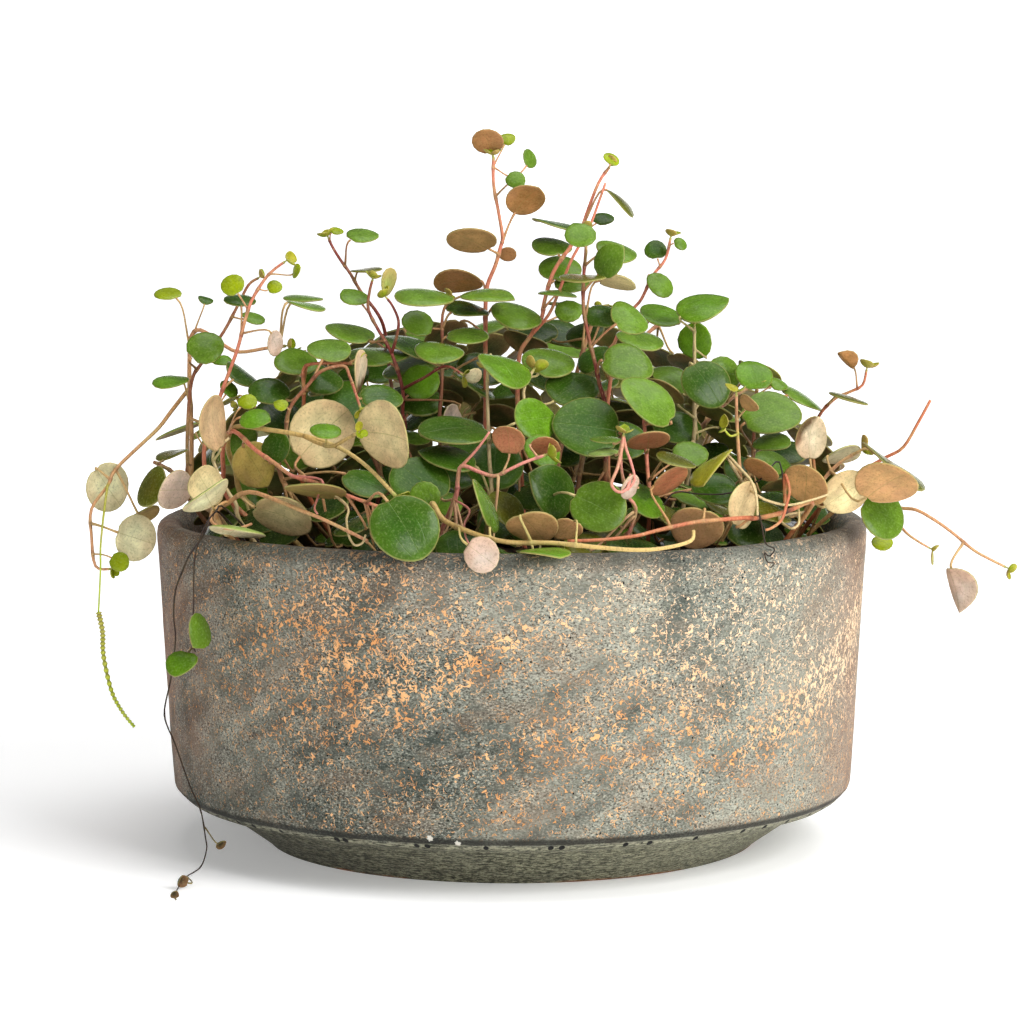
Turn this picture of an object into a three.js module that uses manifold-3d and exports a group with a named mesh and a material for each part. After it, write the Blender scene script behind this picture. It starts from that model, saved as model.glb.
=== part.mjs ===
// A trailing peperomia in a wide, low round pot, in millimetres, +Z up.
// The origin is the middle of the pot's flat underside, and -Y is the front.
// The pot holds the potting soil, and every stem stands in its own hole in the soil.
// A stem, its twigs, its leaf stalks and its blades have grown as one piece, so they are one solid.
import * as THREE from "three";
import { mergeVertices } from "three/addons/utils/BufferGeometryUtils.js";
import Module from "manifold-3d";

const wasm = await Module();
wasm.setup();

// Driving dimensions of the pot and the soil.
const POT = {
  height: 105,
  rimRadius: 115,
  wall: 8.5,
  lip: 3.2,
  wallFootRadius: 110.2,
  wallFootHeight: 19.3,
  bevel: 3.8,
  footTopRadius: 97.8,
  footTopHeight: 13.6,
  footRadius: 80,
  footEdge: 0.8,
  floor: 20,
  floorRadius: 97,
  sides: 40,
};
const SOIL = { middle: 95, edge: 91, gap: 0.35, holeGap: 0.4, holeDepth: 6.5, holeSides: 4, sides: 24 };

// Driving dimensions of the plant: a leaf is a thin round blade, slightly arched, on a slender stalk.
const BLADE = { thickness: 0.8, arch: 0.05 };
const STALK = { root: 0.26, tip: 0.4, free: 0.45 };
const STEM = { sides: 4, taper: 0.7, sunk: 6, collar: 3 };
const GAP = 0.35;

// A blade's outline from base to tip, as [place along, half width] in shares of half its length.
const OUTLINE = [[-0.7, 0.72], [0.08, 1], [0.86, 0.5]];

// The front view in which the stems were traced: a camera in front of the pot, looking slightly down.
const VIEW = { back: 1120, height: 219, pitch: THREE.MathUtils.degToRad(5.75), focal: 3459, column: 512.5, row: 512 };
const RIGHT = new THREE.Vector3(1, 0, 0);
const UPWARD = new THREE.Vector3(0, Math.sin(VIEW.pitch), Math.cos(VIEW.pitch));
const NEAR = new THREE.Vector3(0, -Math.cos(VIEW.pitch), Math.sin(VIEW.pitch));
const UP = new THREE.Vector3(0, 0, 1);

// The steps in depth by which a blade is tried nearer or farther until it stands clear of the rest.
const NUDGES = [0, 2, -2, 4, -4, 6, -6, 8, -8, 10, -10, 12, -12, 15, -15, 18, -18, 22, -22];

// The stems that show from the front. Each has its root on the soil (x, y) and its thickness.
// A route's points are [picture column, picture row, depth]; "from" is the [shoot, point] that it branches off.
// A leaf is [route point, column, row, depth from that point, length, width, slope]: its blade's middle,
// its longer and shorter extent in the picture (a negative one shows the underside) and its slope in degrees.
const STEMS = [
  {
    name: "stem_left_arching", root: [-84, -28], thick: 1.8,
    shoots: [{
      route: [[207, 500, -32], [205, 470, -31], [205, 447, -30], [211, 425, -30], [219, 401, -30], [227, 379, -31],
        [238, 349, -32], [245, 322, -33], [252, 301, -34], [264, 281, -35], [274, 270, -36], [285, 262, -37]],
      leaves: [[10, 297, 271, -2, 16, 8, 75], [9, 275, 287, 3, 16, 14, 0], [7, 276, 343, -5, 29, -14, 80],
        [8, 233, 285, 4, 25, 22, 15], [7, 240, 300, 9, 36, 13, -5], [4, 229, 389, 4, 22, 13, -45],
        [5, 241, 376, 10, 43, 14, -38]],
    }],
  },
  {
    name: "stem_left_brown", root: [-90, -17], thick: 1.7,
    shoots: [{
      route: [[190, 500, -20], [188, 465, -19], [188, 430, -18], [192, 382, -18], [203, 362, -18], [224, 332, -18],
        [238, 306, -18], [249, 285, -18], [259, 278, -18]],
      leaves: [[4, 206, 347, -7, 39, 33, -10], [6, 254, 318, 6, 24, 12, -20]],
    }],
  },
  {
    name: "stem_left_trailing", root: [-94, -5], thick: 2.1,
    shoots: [
      {
        route: [[193, 500, -8], [192, 465, -8], [192, 429, -8], [190, 388, -8], [190, 357, -8], [191, 338, -8],
          [201, 330, -9], [224, 345, -10], [240, 352, -11], [268, 348, -12], [286, 346, -13]],
        leaves: [[5, 168, 294, 0, 28, 14, 0], [6, 206, 300, 3, 18, 8, -20], [10, 305, 298, 6, 43, 8, -3],
          [10, 307, 306, -4, 41, 7, -12], [3, 171, 382, -4, 38, 14, 3], [7, 223, 361, 5, 20, 12, 0]],
      },
      {
        from: [0, 3],
        route: [[172, 411, -13], [159, 428, -18], [140, 446, -24], [122, 463, -30], [113, 474, -33], [108, 486, -36],
          [92, 509, -40], [92, 536, -42], [96, 566, -44], [111, 569, -47]],
        leaves: [[5, 108, 487, 5, 50, -40, 80], [7, 136, 538, -2, 48, -38, 75], [8, 120, 562, -7, 21, 20, 0],
          [4, 142, 516, 8, 42, -9, 25]],
      },
      {
        from: [1, 5], thick: 1.4,
        route: [[106, 500, -42], [103, 525, -46], [101, 548, -49], [101, 570, -50], [99, 612, -50]],
        leaves: [],
      },
      {
        from: [2, 4], thick: 2.9,
        route: [[103, 632, -50], [104, 656, -50], [112, 691, -50], [123, 712, -50], [135, 727, -50]],
        leaves: [],
      },
    ],
  },
  {
    name: "stem_left_low", root: [-84, -42], thick: 2.2,
    shoots: [{
      route: [[222, 520, -50], [205, 507, -50], [190, 495, -49], [176, 475, -47], [165, 467, -45], [154, 462, -44]],
      leaves: [[5, 172, 455, 2, 38, 9, 13], [4, 153, 487, -6, 45, 30, 60], [3, 177, 490, -10, 48, -28, 68],
        [2, 207, 486, -12, 44, -35, 80], [1, 207, 496, -18, 62, -12, 36]],
    }],
  },
  {
    name: "stem_left_beige", root: [-76, -50], thick: 1.8,
    shoots: [{
      route: [[240, 520, -56], [237, 505, -57], [230, 494, -57], [218, 472, -55], [214, 453, -53], [230, 438, -52]],
      leaves: [[4, 215, 423, -2, 58, -22, 88]],
    }],
  },
  {
    name: "stem_front_coral", root: [-70, -34], thick: 2,
    shoots: [{
      route: [[230, 500, -36], [224, 470, -38], [224, 445, -42], [234, 431, -46], [256, 450, -56], [275, 463, -62],
        [293, 476, -68], [319, 483, -75], [347, 495, -82], [380, 507, -88]],
      leaves: [[3, 256, 419, 5, 33, 22, 10], [3, 248, 402, 9, 20, 16, 0], [4, 256, 466, 7, 50, -44, 75],
        [5, 277, 447, 8, 36, 31, 60], [8, 316, 492, -5, 64, -13, -4], [7, 323, 434, 18, 72, -65, 80],
        [9, 405, 528, -28, 72, 67, -20]],
    }],
  },
  {
    name: "stem_front_tan", root: [-80, -55], thick: 2,
    shoots: [{
      route: [[217, 519, -60], [229, 503, -64], [250, 492, -70], [281, 502, -80], [300, 510, -86], [316, 516, -90],
        [340, 527, -96], [368, 541, -101]],
      leaves: [[2, 283, 517, -8, 62, -38, -18], [0, 238, 531, -8, 58, -8, -8]],
    }],
  },
  {
    name: "stem_front_thick", root: [-66, -26], thick: 2.4,
    shoots: [
      {
        route: [[246, 500, -28], [236, 470, -30], [228, 446, -36], [236, 427, -44], [270, 430, -54], [305, 436, -62],
          [340, 448, -71], [368, 467, -80], [396, 496, -88]],
        leaves: [],
      },
      {
        from: [0, 5],
        route: [[319, 443, -69], [333, 446, -76], [347, 439, -82], [358, 433, -86]],
        leaves: [[3, 386, 435, -3, 74, -48, -68], [1, 326, 431, -8, 33, 16, -5]],
      },
    ],
  },
  {
    name: "stem_front_orange", root: [-56, -20], thick: 1.8,
    shoots: [{
      route: [[302, 480, -28], [300, 440, -32], [304, 406, -35], [304, 385, -37], [304, 370, -38], [312, 364, -39],
        [340, 363, -41], [354, 364, -42]],
      leaves: [[7, 361, 372, -3, 45, -9, 85], [4, 296, 362, 10, 48, 28, -8], [3, 270, 391, 6, 42, 28, -10],
        [5, 322, 380, 9, 46, 30, -15],
        [1, 352, 405, 4, 62, 46, -20]],
    }],
  },
  {
    name: "stem_front_brown", root: [-54, -38], thick: 1.7,
    shoots: [{
      route: [[283, 480, -52], [286, 440, -52], [290, 409, -51], [307, 387, -50], [322, 371, -50], [344, 366, -51],
        [350, 376, -53], [355, 390, -56], [361, 408, -60]],
      leaves: [[2, 281, 405, -4, 16, 12, 0], [4, 330, 350, 8, 46, 24, -6], [7, 382, 398, 6, 44, 26, -12],
        [0, 366, 484, -14, 50, 26, -15], [1, 300, 455, -6, 44, 30, 20]],
    }],
  },
  {
    name: "runner_front_yellow", root: [-24, -78], thick: 2.2,
    shoots: [{
      route: [[432, 506, -92], [444, 520, -99], [473, 533, -105], [507, 542, -109], [553, 543, -111], [595, 547, -112],
        [636, 550, -112], [665, 548, -110], [691, 541, -107], [694, 531, -103]],
      leaves: [[0, 425, 497, 8, 33, 32, 0], [2, 482, 555, -14, 38, -37, -60], [4, 547, 553, -6, 55, 7, -2],
        [3, 486, 505, 8, 60, 12, -66], [4, 533, 527, 4, 54, -30, 0], [5, 567, 529, 6, 34, -22, 0]],
    }],
  },
  {
    name: "runner_front_red", root: [79, -55], thick: 2,
    shoots: [{
      route: [[813, 504, -66], [786, 512, -74], [759, 518, -80], [745, 518, -84], [718, 520, -90], [691, 523, -94],
        [656, 531, -98], [636, 536, -101], [600, 540, -104], [568, 541, -105]],
      leaves: [[5, 697, 527, -6, 55, -42, -10], [3, 743, 505, 4, 50, -30, 78], [6, 670, 481, 14, 45, -20, 35]],
    }],
  },
  {
    name: "stem_centre_left", root: [-8, -50], thick: 1.8,
    shoots: [{
      route: [[492, 500, -62], [490, 460, -58], [489, 430, -55], [488, 400, -52], [488, 371, -48]],
      leaves: [[4, 505, 369, -4, 60, 27, -27], [2, 536, 420, -6, 52, 38, -55], [2, 455, 431, -6, 72, 30, -5],
        [0, 495, 467, 4, 60, 48, 0], [0, 448, 458, -2, 58, 26, -12], [1, 475, 450, 6, 60, 30, -20],
        [0, 507, 509, -8, 45, 30, -40]],
    }],
  },
  {
    name: "stem_centre_pink", root: [-26, -66], thick: 1.8,
    shoots: [{
      route: [[455, 500, -78], [458, 482, -80], [462, 466, -82], [480, 472, -85], [495, 476, -87], [511, 469, -88],
        [526, 462, -88], [546, 455, -87]],
      leaves: [[5, 509, 439, 4, 36, -27, -20], [7, 546, 447, 4, 32, -20, 0], [0, 420, 482, 2, 62, 50, -12],
        [1, 447, 503, 0, 40, 24, -10]],
    }],
  },
  {
    name: "stem_centre_right", root: [16, -60], thick: 1.8,
    shoots: [{
      route: [[545, 500, -72], [540, 462, -68], [531, 425, -62], [524, 392, -55], [534, 370, -48]],
      leaves: [[4, 549, 362, 4, 56, 30, -8], [3, 574, 389, -6, 58, 38, -8], [0, 552, 490, -6, 60, 46, -70],
        [1, 543, 452, 2, 42, 34, -30], [0, 599, 507, -20, 57, 54, 0]],
    }],
  },
  {
    name: "stem_tall_middle", root: [4, -8], thick: 2,
    shoots: [{
      route: [[520, 440, -14], [518, 395, -12], [520, 355, -10], [531, 336, -9], [542, 318, -8], [545, 301, -7],
        [554, 272, -6], [570, 248, -5], [582, 230, -4], [587, 214, -3], [599, 183, -2], [610, 167, -1]],
      leaves: [[11, 612, 159, -1, 18, 12, -30], [8, 554, 224, 3, 50, 7, -12], [9, 621, 202, -3, 38, 9, -45],
        [8, 604, 219, 4, 22, 14, 0], [7, 552, 246, 4, 42, 20, -5], [6, 561, 268, 5, 44, 28, -5],
        [5, 573, 284, 4, 36, 20, 0], [5, 558, 294, -5, 40, 7, -5], [4, 570, 311, 3, 30, 24, 0]],
    }],
  },
  {
    name: "stem_tall_maroon", root: [28, -38], thick: 1.9,
    shoots: [{
      route: [[606, 470, -52], [606, 436, -50], [605, 403, -48], [600, 384, -46], [596, 365, -44], [588, 332, -40],
        [584, 307, -37], [584, 280, -34], [586, 255, -31], [587, 232, -28]],
      leaves: [[1, 587, 428, -6, 70, 60, -15], [4, 628, 364, -4, 54, 38, -15], [5, 630, 318, 4, 44, 28, -38],
        [7, 610, 260, -3, 38, 32, 70], [7, 583, 279, -8, 47, 10, 0], [8, 580, 235, -4, 34, 27, 0],
        [8, 618, 252, 6, 45, 22, -20], [6, 618, 283, 6, 38, -12, -10], [5, 604, 316, 10, 38, 24, 0], [1, 624, 440, 8, 52, 38, -10]],
    }],
  },
  {
    name: "stem_tall_right", root: [32, 2], thick: 1.8,
    shoots: [{
      route: [[608, 420, 0], [611, 380, 0], [615, 343, 0], [624, 328, 0], [632, 311, 0], [642, 299, 0], [653, 276, 0],
        [666, 259, 0], [671, 238, 0]],
      leaves: [[7, 656, 250, 2, 23, 20, 0], [8, 681, 244, -1, 15, 12, -40], [6, 660, 285, -3, 31, 25, -30],
        [3, 640, 341, -6, 50, 20, -12], [4, 662, 316, 4, 46, 24, -15]],
    }],
  },
  {
    name: "stem_tallest", root: [-10, -2], thick: 2,
    shoots: [{
      route: [[486, 420, -4], [486, 375, -3], [486, 335, -2], [486, 306, -1], [488, 285, 0], [496, 265, 0],
        [501, 247, 0], [503, 237, 0], [499, 212, 0], [494, 184, 0], [494, 157, 0]],
      leaves: [[10, 488, 142, 0, 33, -22, 0], [10, 508, 139, 3, 17, 13, 0], [10, 516, 180, -3, 21, 18, 0],
        [9, 530, 159, 2, 22, 14, -70], [7, 527, 199, -2, 43, -27, 0], [6, 472, 241, -3, 51, -21, 0],
        [6, 508, 254, 2, 18, -14, 0], [4, 459, 281, 3, 50, -23, -5], [3, 516, 316, -6, 57, 28, -12]],
    }],
  },
  {
    name: "stem_middle_dark", root: [-22, -16], thick: 1.7,
    shoots: [{
      route: [[440, 430, -18], [442, 390, -17], [443, 350, -16], [443, 315, -14], [450, 300, -13]],
      leaves: [[4, 424, 297, -2, 62, 20, -5], [4, 488, 296, -5, 54, 17, 0], [3, 468, 309, 4, 44, 16, -10],
        [3, 418, 324, 0, 34, 26, -20], [2, 468, 337, -4, 44, 18, 0], [2, 440, 352, -8, 52, 22, -5], [2, 415, 366, 6, 68, 24, 16],
        [2, 409, 346, 12, 55, 18, -20]],
    }],
  },
  {
    name: "stem_middle_red", root: [-42, -14], thick: 1.7,
    shoots: [
      {
        route: [[404, 440, -20], [403, 412, -22], [403, 389, -24], [392, 353, -24], [380, 332, -24], [369, 310, -24],
          [370, 292, -24], [373, 280, -24]],
        leaves: [[5, 354, 297, 4, 32, 18, -10], [4, 350, 334, 6, 50, 20, -12], [2, 421, 382, -4, 40, 37, 0],
          [2, 452, 421, -14, 36, -17, 80], [3, 380, 356, 8, 64, 20, 0], [1, 415, 400, 8, 60, 32, -5]],
      },
      {
        from: [0, 3],
        route: [[397, 337, -26], [399, 321, -27], [393, 306, -27], [387, 298, -27]],
        leaves: [[3, 389, 282, 0, 29, -15, 80]],
      },
      {
        from: [0, 2],
        route: [[424, 378, -30], [446, 366, -36], [463, 375, -40]],
        leaves: [[2, 474, 376, -1, 20, -14, 40]],
      },
    ],
  },
  {
    name: "stem_high_left", root: [-46, 8], thick: 1.7,
    shoots: [{
      route: [[392, 420, 8], [390, 370, 8], [386, 335, 7], [379, 315, 5], [361, 291, 4], [351, 274, 3], [341, 260, 3],
        [333, 247, 2], [329, 238, 2]],
      leaves: [[8, 337, 231, 0, 15, 8, -10], [6, 363, 236, 1, 34, 16, -5], [5, 366, 271, -2, 36, 6, 5]],
    }],
  },
  {
    name: "stem_right_high", root: [54, -4], thick: 1.8,
    shoots: [{
      route: [[694, 440, -10], [695, 410, -10], [695, 385, -10], [695, 360, -10], [695, 342, -9], [695, 326, -8]],
      leaves: [[5, 704, 307, -2, 56, 30, 10], [4, 696, 341, 8, 40, 36, 80], [2, 707, 384, -12, 52, 48, -30],
        [3, 724, 374, 4, 38, 34, -60], [1, 664, 392, -8, 46, -16, -25], [2, 672, 379, 8, 44, 28, -20],
        [1, 678, 428, 6, 50, 34, -10]],
    }],
  },
  {
    name: "stem_right_leafy", root: [72, -8], thick: 1.8,
    shoots: [{
      route: [[752, 470, -16], [754, 440, -16], [756, 410, -15], [757, 388, -14]],
      leaves: [[3, 754, 375, 2, 40, 30, -10], [3, 779, 384, -2, 22, 12, -20], [2, 802, 399, 2, 48, 12, -30],
        [1, 772, 414, -10, 60, 45, 0], [0, 772, 442, -12, 40, 18, 10]],
    }],
  },
  {
    name: "stem_right_front", root: [42, -54], thick: 1.8,
    shoots: [{
      route: [[650, 500, -66], [648, 470, -63], [646, 440, -60], [644, 415, -57]],
      leaves: [[3, 648, 402, -4, 64, 40, -38], [2, 649, 440, -14, 46, -16, 8], [1, 691, 454, 4, 38, 26, -10],
        [0, 645, 502, -12, 48, 28, -42], [1, 676, 460, -18, 46, 12, -17], [0, 715, 489, 0, 48, 36, -10]],
    }],
  },
  {
    name: "stem_curled_pink", root: [30, -78], thick: 1.5,
    shoots: [{
      route: [[636, 515, -88], [628, 495, -92], [622, 470, -94], [622, 450, -95], [624, 436, -95]],
      leaves: [[4, 604, 452, 4, 34, 7, 5], [4, 606, 440, 9, 34, 7, -3], [2, 630, 487, -5, 28, -16, 60]],
    }],
  },
  {
    name: "stem_right_tan", root: [62, -52], thick: 1.8,
    shoots: [{
      route: [[742, 500, -66], [741, 480, -65], [740, 466, -64], [738, 434, -63], [737, 410, -62], [737, 395, -62]],
      leaves: [[4, 749, 404, -2, 26, -11, -40], [2, 711, 468, -8, 58, 12, 41], [1, 762, 470, -4, 40, -16, -30]],
    }],
  },
  {
    name: "stem_right_low", root: [86, -34], thick: 2,
    shoots: [{
      route: [[806, 512, -50], [812, 496, -50], [822, 482, -48], [840, 463, -46], [861, 451, -44]],
      leaves: [[4, 893, 467, -2, 78, 12, -36], [1, 806, 484, -9, 50, -34, -35], [2, 811, 438, 3, 44, -34, 70],
        [1, 846, 493, -6, 52, -46, 30], [3, 887, 484, -9, 66, -38, -10], [2, 883, 515, -14, 54, 44, -60],
        [3, 842, 455, 7, 42, -15, 15]],
    }],
  },
  {
    name: "stem_right_orange", root: [88, -22], thick: 1.9,
    shoots: [{
      route: [[826, 500, -33], [831, 489, -35], [850, 478, -37], [869, 467, -38], [887, 457, -39], [904, 447, -40],
        [919, 422, -40], [931, 400, -40]],
      leaves: [],
    }],
  },
  {
    name: "stem_right_trailing", root: [91, -12], thick: 1.7,
    shoots: [
      {
        route: [[850, 500, -20], [880, 503, -26], [901, 508, -30], [917, 510, -33], [935, 520, -35], [952, 532, -37],
          [974, 550, -39], [990, 559, -40], [1006, 567, -41]],
        leaves: [[6, 958, 589, -3, 46, -25, -68]],
      },
      {
        from: [0, 1], thick: 1.3,
        route: [[893, 516, -31], [906, 532, -36], [918, 541, -38], [930, 548, -39]],
        leaves: [[1, 883, 543, -4, 24, 16, -10]],
      },
    ],
  },
  {
    name: "stem_right_sprig", root: [92, 0], thick: 1.6,
    shoots: [{
      route: [[814, 480, -6], [812, 445, -8], [819, 417, -9], [835, 399, -10], [850, 392, -10], [863, 385, -10],
        [867, 370, -10]],
      leaves: [[5, 847, 359, 1, 24, -13, -30], [3, 848, 399, -4, 45, 6, -16]],
    }],
  },
  {
    name: "runner_dead", root: [-76, -62], thick: 1.1,
    shoots: [
      {
        route: [[222, 514, -64], [211, 521, -70], [204, 535, -73], [190, 555, -66], [182, 573, -63], [176, 590, -60],
          [174, 615, -59], [176, 640, -60], [171, 680, -57], [165, 715, -54], [176, 745, -57], [190, 785, -63],
          [201, 810, -67], [206, 838, -69], [207, 850, -69], [201, 867, -68], [187, 876.5, -74], [182, 881.5, -82],
          [174, 897, -105]],
        leaves: [[13, 222, 845, -3, 12, -7, 40]],
      },
    ],
  },
  {
    name: "runner_over_rim", root: [-70, -68], thick: 1.2,
    shoots: [{
      route: [[228, 510, -71], [216, 512, -76], [206, 525, -81], [199, 543, -79], [195, 560, -78], [194, 585, -77],
        [194, 610, -76], [191, 638, -75], [196, 652, -75]],
      leaves: [[7, 200, 632, -3, 40, 20, -75], [8, 182, 663, -4, 34, 24, 15]],
    }],
  },
];

// The stems that the front view hides, grown by a rule. Their roots lie on a sunflower's spiral over the soil,
// and those that would stand among the traced ones, in front of frontLine, are left out.
const GROWN = {
  places: 26,
  halfWidth: 104,
  frontLine: -14,
  spread: 94,
  turn: THREE.MathUtils.degToRad(137.5),
  segment: 10.5,
  thick: 1.8,
  tries: 14,
  leafTries: 16,
};

// The low leaves that fill the plant along the rim, one just above the foot of each grown stem.
const LOW = { length: 16, tries: 24 };

// The place in space that shows at a picture column and row and lies a given depth behind the pot's middle.
function seen([column, row, depth]) {
  const right = (column - VIEW.column) / VIEW.focal;
  const up = (VIEW.row - row) / VIEW.focal;
  const reach = (depth + VIEW.back) / (Math.cos(VIEW.pitch) + up * Math.sin(VIEW.pitch));
  const climb = up * Math.cos(VIEW.pitch) - Math.sin(VIEW.pitch);
  return new THREE.Vector3(reach * right, depth, VIEW.height + reach * climb);
}

// The real length of a stretch of picture at a given depth.
function seenSize(extent, depth) {
  return (extent * (depth + VIEW.back)) / VIEW.focal;
}

// A number from 0 to 1 that is always the same for the same whole-number keys.
function draw(...keys) {
  let mixed = 20011;
  for (const key of keys) {
    mixed = Math.imul(mixed ^ (key + 40503), 0x85ebca6b);
    mixed ^= mixed >>> 13;
    mixed = Math.imul(mixed, 0xc2b2ae35);
    mixed ^= mixed >>> 16;
  }
  return (mixed >>> 0) / 4294967296;
}

// The height of the soil's gently domed top at a distance from the middle.
function soilTop(distance) {
  return SOIL.middle - (SOIL.middle - SOIL.edge) * (distance / (POT.rimRadius - POT.wall)) ** 2;
}

// A closed geometry as a solid that can be joined and cut.
function solid(geometry) {
  geometry.deleteAttribute("normal");
  geometry.deleteAttribute("uv");
  const merged = mergeVertices(geometry, 1e-4);
  const mesh = new wasm.Mesh({
    numProp: 3,
    vertProperties: Float32Array.from(merged.getAttribute("position").array),
    triVerts: Uint32Array.from(merged.getIndex().array),
  });
  return new wasm.Manifold(mesh);
}

// A joined or cut solid as a geometry again.
function geometryOf(manifold) {
  const mesh = manifold.getMesh();
  const geometry = new THREE.BufferGeometry();
  geometry.setAttribute("position", new THREE.BufferAttribute(mesh.vertProperties, 3));
  geometry.setIndex(new THREE.BufferAttribute(mesh.triVerts, 1));
  geometry.computeVertexNormals();
  return geometry;
}

// A lathe profile turned about the upright axis.
function turned(profile, sides) {
  const points = profile.map(([radius, height]) => new THREE.Vector2(radius, height));
  return new THREE.LatheGeometry(points, sides).rotateX(Math.PI / 2);
}

// The pot: a solid, flaring foot, a flat underside, a bevelled lower edge and a slightly tapering wall
// with a rounded lip.
function potGeometry() {
  const { rimRadius, height, wall, lip, wallFootRadius, wallFootHeight, bevel } = POT;
  const profile = [
    [0, 0],
    [POT.footRadius - POT.footEdge, 0],
    [POT.footRadius, POT.footEdge],
    [POT.footTopRadius, POT.footTopHeight],
    [wallFootRadius - bevel, wallFootHeight - bevel],
    [wallFootRadius, wallFootHeight],
    [rimRadius, height - 1.9 * lip],
    [rimRadius - 0.3 * lip, height - 0.35 * lip],
    [rimRadius - lip, height],
    [rimRadius - wall + 0.7 * lip, height],
    [rimRadius - wall, height - 0.8 * lip],
    [rimRadius - wall - 1, SOIL.edge],
    [POT.floorRadius, POT.floor],
    [0, POT.floor],
  ];
  return turned(profile, POT.sides);
}

// The soil: it fills the pot to a little under the rim.
function soilGeometry() {
  const wide = POT.rimRadius - POT.wall - 1 - SOIL.gap;
  const narrow = POT.floorRadius - SOIL.gap;
  const floor = POT.floor + SOIL.gap;
  return turned([[0, floor], [narrow, floor], [wide, SOIL.edge], [0, SOIL.middle]], SOIL.sides);
}

// The hole in the soil for one stem.
function holeGeometry(x, y, radius) {
  const depth = SOIL.holeDepth + 2;
  const top = soilTop(Math.hypot(x, y)) + 2;
  const geometry = new THREE.CylinderGeometry(radius + SOIL.holeGap, radius + SOIL.holeGap, depth, SOIL.holeSides);
  return geometry.rotateX(Math.PI / 2).translate(x, y, top - depth / 2);
}

// A tapering rod through the points of a route, for a stem or a twig.
function rodGeometry(points, rootRadius, tipRadius) {
  const steps = points.length - 1;
  const geometry = new THREE.CylinderGeometry(1, 1, steps, STEM.sides, steps);
  const across = RIGHT.clone();
  const rings = points.map((point, i) => {
    const along = points[Math.min(i + 1, steps)].clone().sub(points[Math.max(i - 1, 0)]).normalize();
    across.addScaledVector(along, -across.dot(along)).normalize();
    const radius = THREE.MathUtils.lerp(rootRadius, tipRadius, i / steps);
    const beside = along.clone().cross(across);
    return { point, across: across.clone().multiplyScalar(radius), beside: beside.multiplyScalar(radius) };
  });
  const place = geometry.getAttribute("position");
  for (let i = 0; i < place.count; i += 1) {
    const { point, across: u, beside: v } = rings[Math.round(place.getY(i) + steps / 2)];
    const spot = point.clone().addScaledVector(u, place.getZ(i)).addScaledVector(v, place.getX(i));
    place.setXYZ(i, spot.x, spot.y, spot.z);
  }
  return geometry;
}

// The blade's cross-sections, from base to tip: each has its middle, half its width and half its thickness.
function bladeSections(leaf, grow) {
  const half = leaf.length / 2;
  return OUTLINE.map(([along, wide]) => {
    const middle = leaf.middle.clone().addScaledVector(leaf.tipward, along * half + Math.sign(along) * grow);
    middle.addScaledVector(leaf.normal, BLADE.arch * leaf.length * (0.5 - along * along));
    return { middle, wide: wide * half + grow, thick: BLADE.thickness / 2 + grow, over: leaf.normal };
  });
}

// The stalk's two cross-sections: one a share of the way from the middle of the stem, one at the blade's base.
function stalkSections(leaf, grow, share) {
  const base = leaf.middle.clone().addScaledVector(leaf.tipward, -0.52 * leaf.length);
  base.addScaledVector(leaf.normal, -0.45 * BLADE.arch * leaf.length);
  const along = base.clone().sub(leaf.start).normalize();
  const over = leaf.side.clone().cross(along);
  return [share, 1].map((place) => {
    const radius = THREE.MathUtils.lerp(STALK.root, STALK.tip, place) + grow;
    return { middle: leaf.start.clone().lerp(base, place), wide: radius, thick: radius, over };
  });
}

// A closed skin over four-cornered cross-sections.
function skinned(sections, side) {
  const steps = sections.length - 1;
  const geometry = new THREE.BoxGeometry(2, steps, 2, 1, steps, 1);
  const place = geometry.getAttribute("position");
  for (let i = 0; i < place.count; i += 1) {
    const { middle, wide, thick, over } = sections[Math.round(place.getY(i) + steps / 2)];
    const spot = middle.clone().addScaledVector(side, place.getX(i) * wide);
    spot.addScaledVector(over, place.getZ(i) * thick);
    place.setXYZ(i, spot.x, spot.y, spot.z);
  }
  return geometry;
}

// A leaf grows away from the start of its stalk, as far as its upper face allows.
function leafAt(start, middle, normal, length) {
  const tipward = middle.clone().sub(start);
  tipward.addScaledVector(normal, -tipward.dot(normal)).normalize();
  return { start, middle, normal, length, tipward, side: tipward.clone().cross(normal) };
}

// A traced leaf, moved nearer or farther by a nudge.
function tracedLeaf(start, [, column, row, offset, extent, width, slope], nudge) {
  const depth = start.y + offset + nudge;
  const facing = width / extent;
  const turn = THREE.MathUtils.degToRad(slope + 90);
  const lean = Math.sqrt(1 - facing * facing);
  const normal = NEAR.clone().multiplyScalar(facing);
  normal.addScaledVector(RIGHT, lean * Math.cos(turn)).addScaledVector(UPWARD, lean * Math.sin(turn));
  return leafAt(start, seen([column, row, depth]), normal.normalize(), seenSize(extent, depth));
}

// A grown stem's route: the nearer its root is to the rim, the further it leans out, and over the rim.
function grownRoute(place, attempt) {
  const angle = place * GROWN.turn;
  const distance = GROWN.spread * Math.sqrt((place + 0.5) / GROWN.places);
  const outer = distance / GROWN.spread;
  const heading = angle + (1 + 0.2 * attempt) * (draw(place, attempt, 1) - 0.5);
  const drift = 0.3 * (draw(place, attempt, 2) - 0.5);
  const segments = Math.round(6.4 + 1.8 * draw(place, attempt, 3) - outer);
  const droop = 0.05 + 0.27 * outer ** 2 + 0.09 * draw(place, attempt, 4);
  const x = distance * Math.cos(angle);
  const y = distance * Math.sin(angle);
  const route = [new THREE.Vector3(x, y, soilTop(distance) + STEM.collar + 3)];
  for (let i = 0; i < segments; i += 1) {
    const climb = 1.5 - 0.5 * outer ** 2 - droop * i;
    const way = heading + drift * i;
    const level = GROWN.segment * Math.cos(climb);
    const step = new THREE.Vector3(level * Math.cos(way), level * Math.sin(way), GROWN.segment * Math.sin(climb));
    route.push(route[i].clone().add(step));
  }
  return { root: [x, y], route };
}

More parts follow.
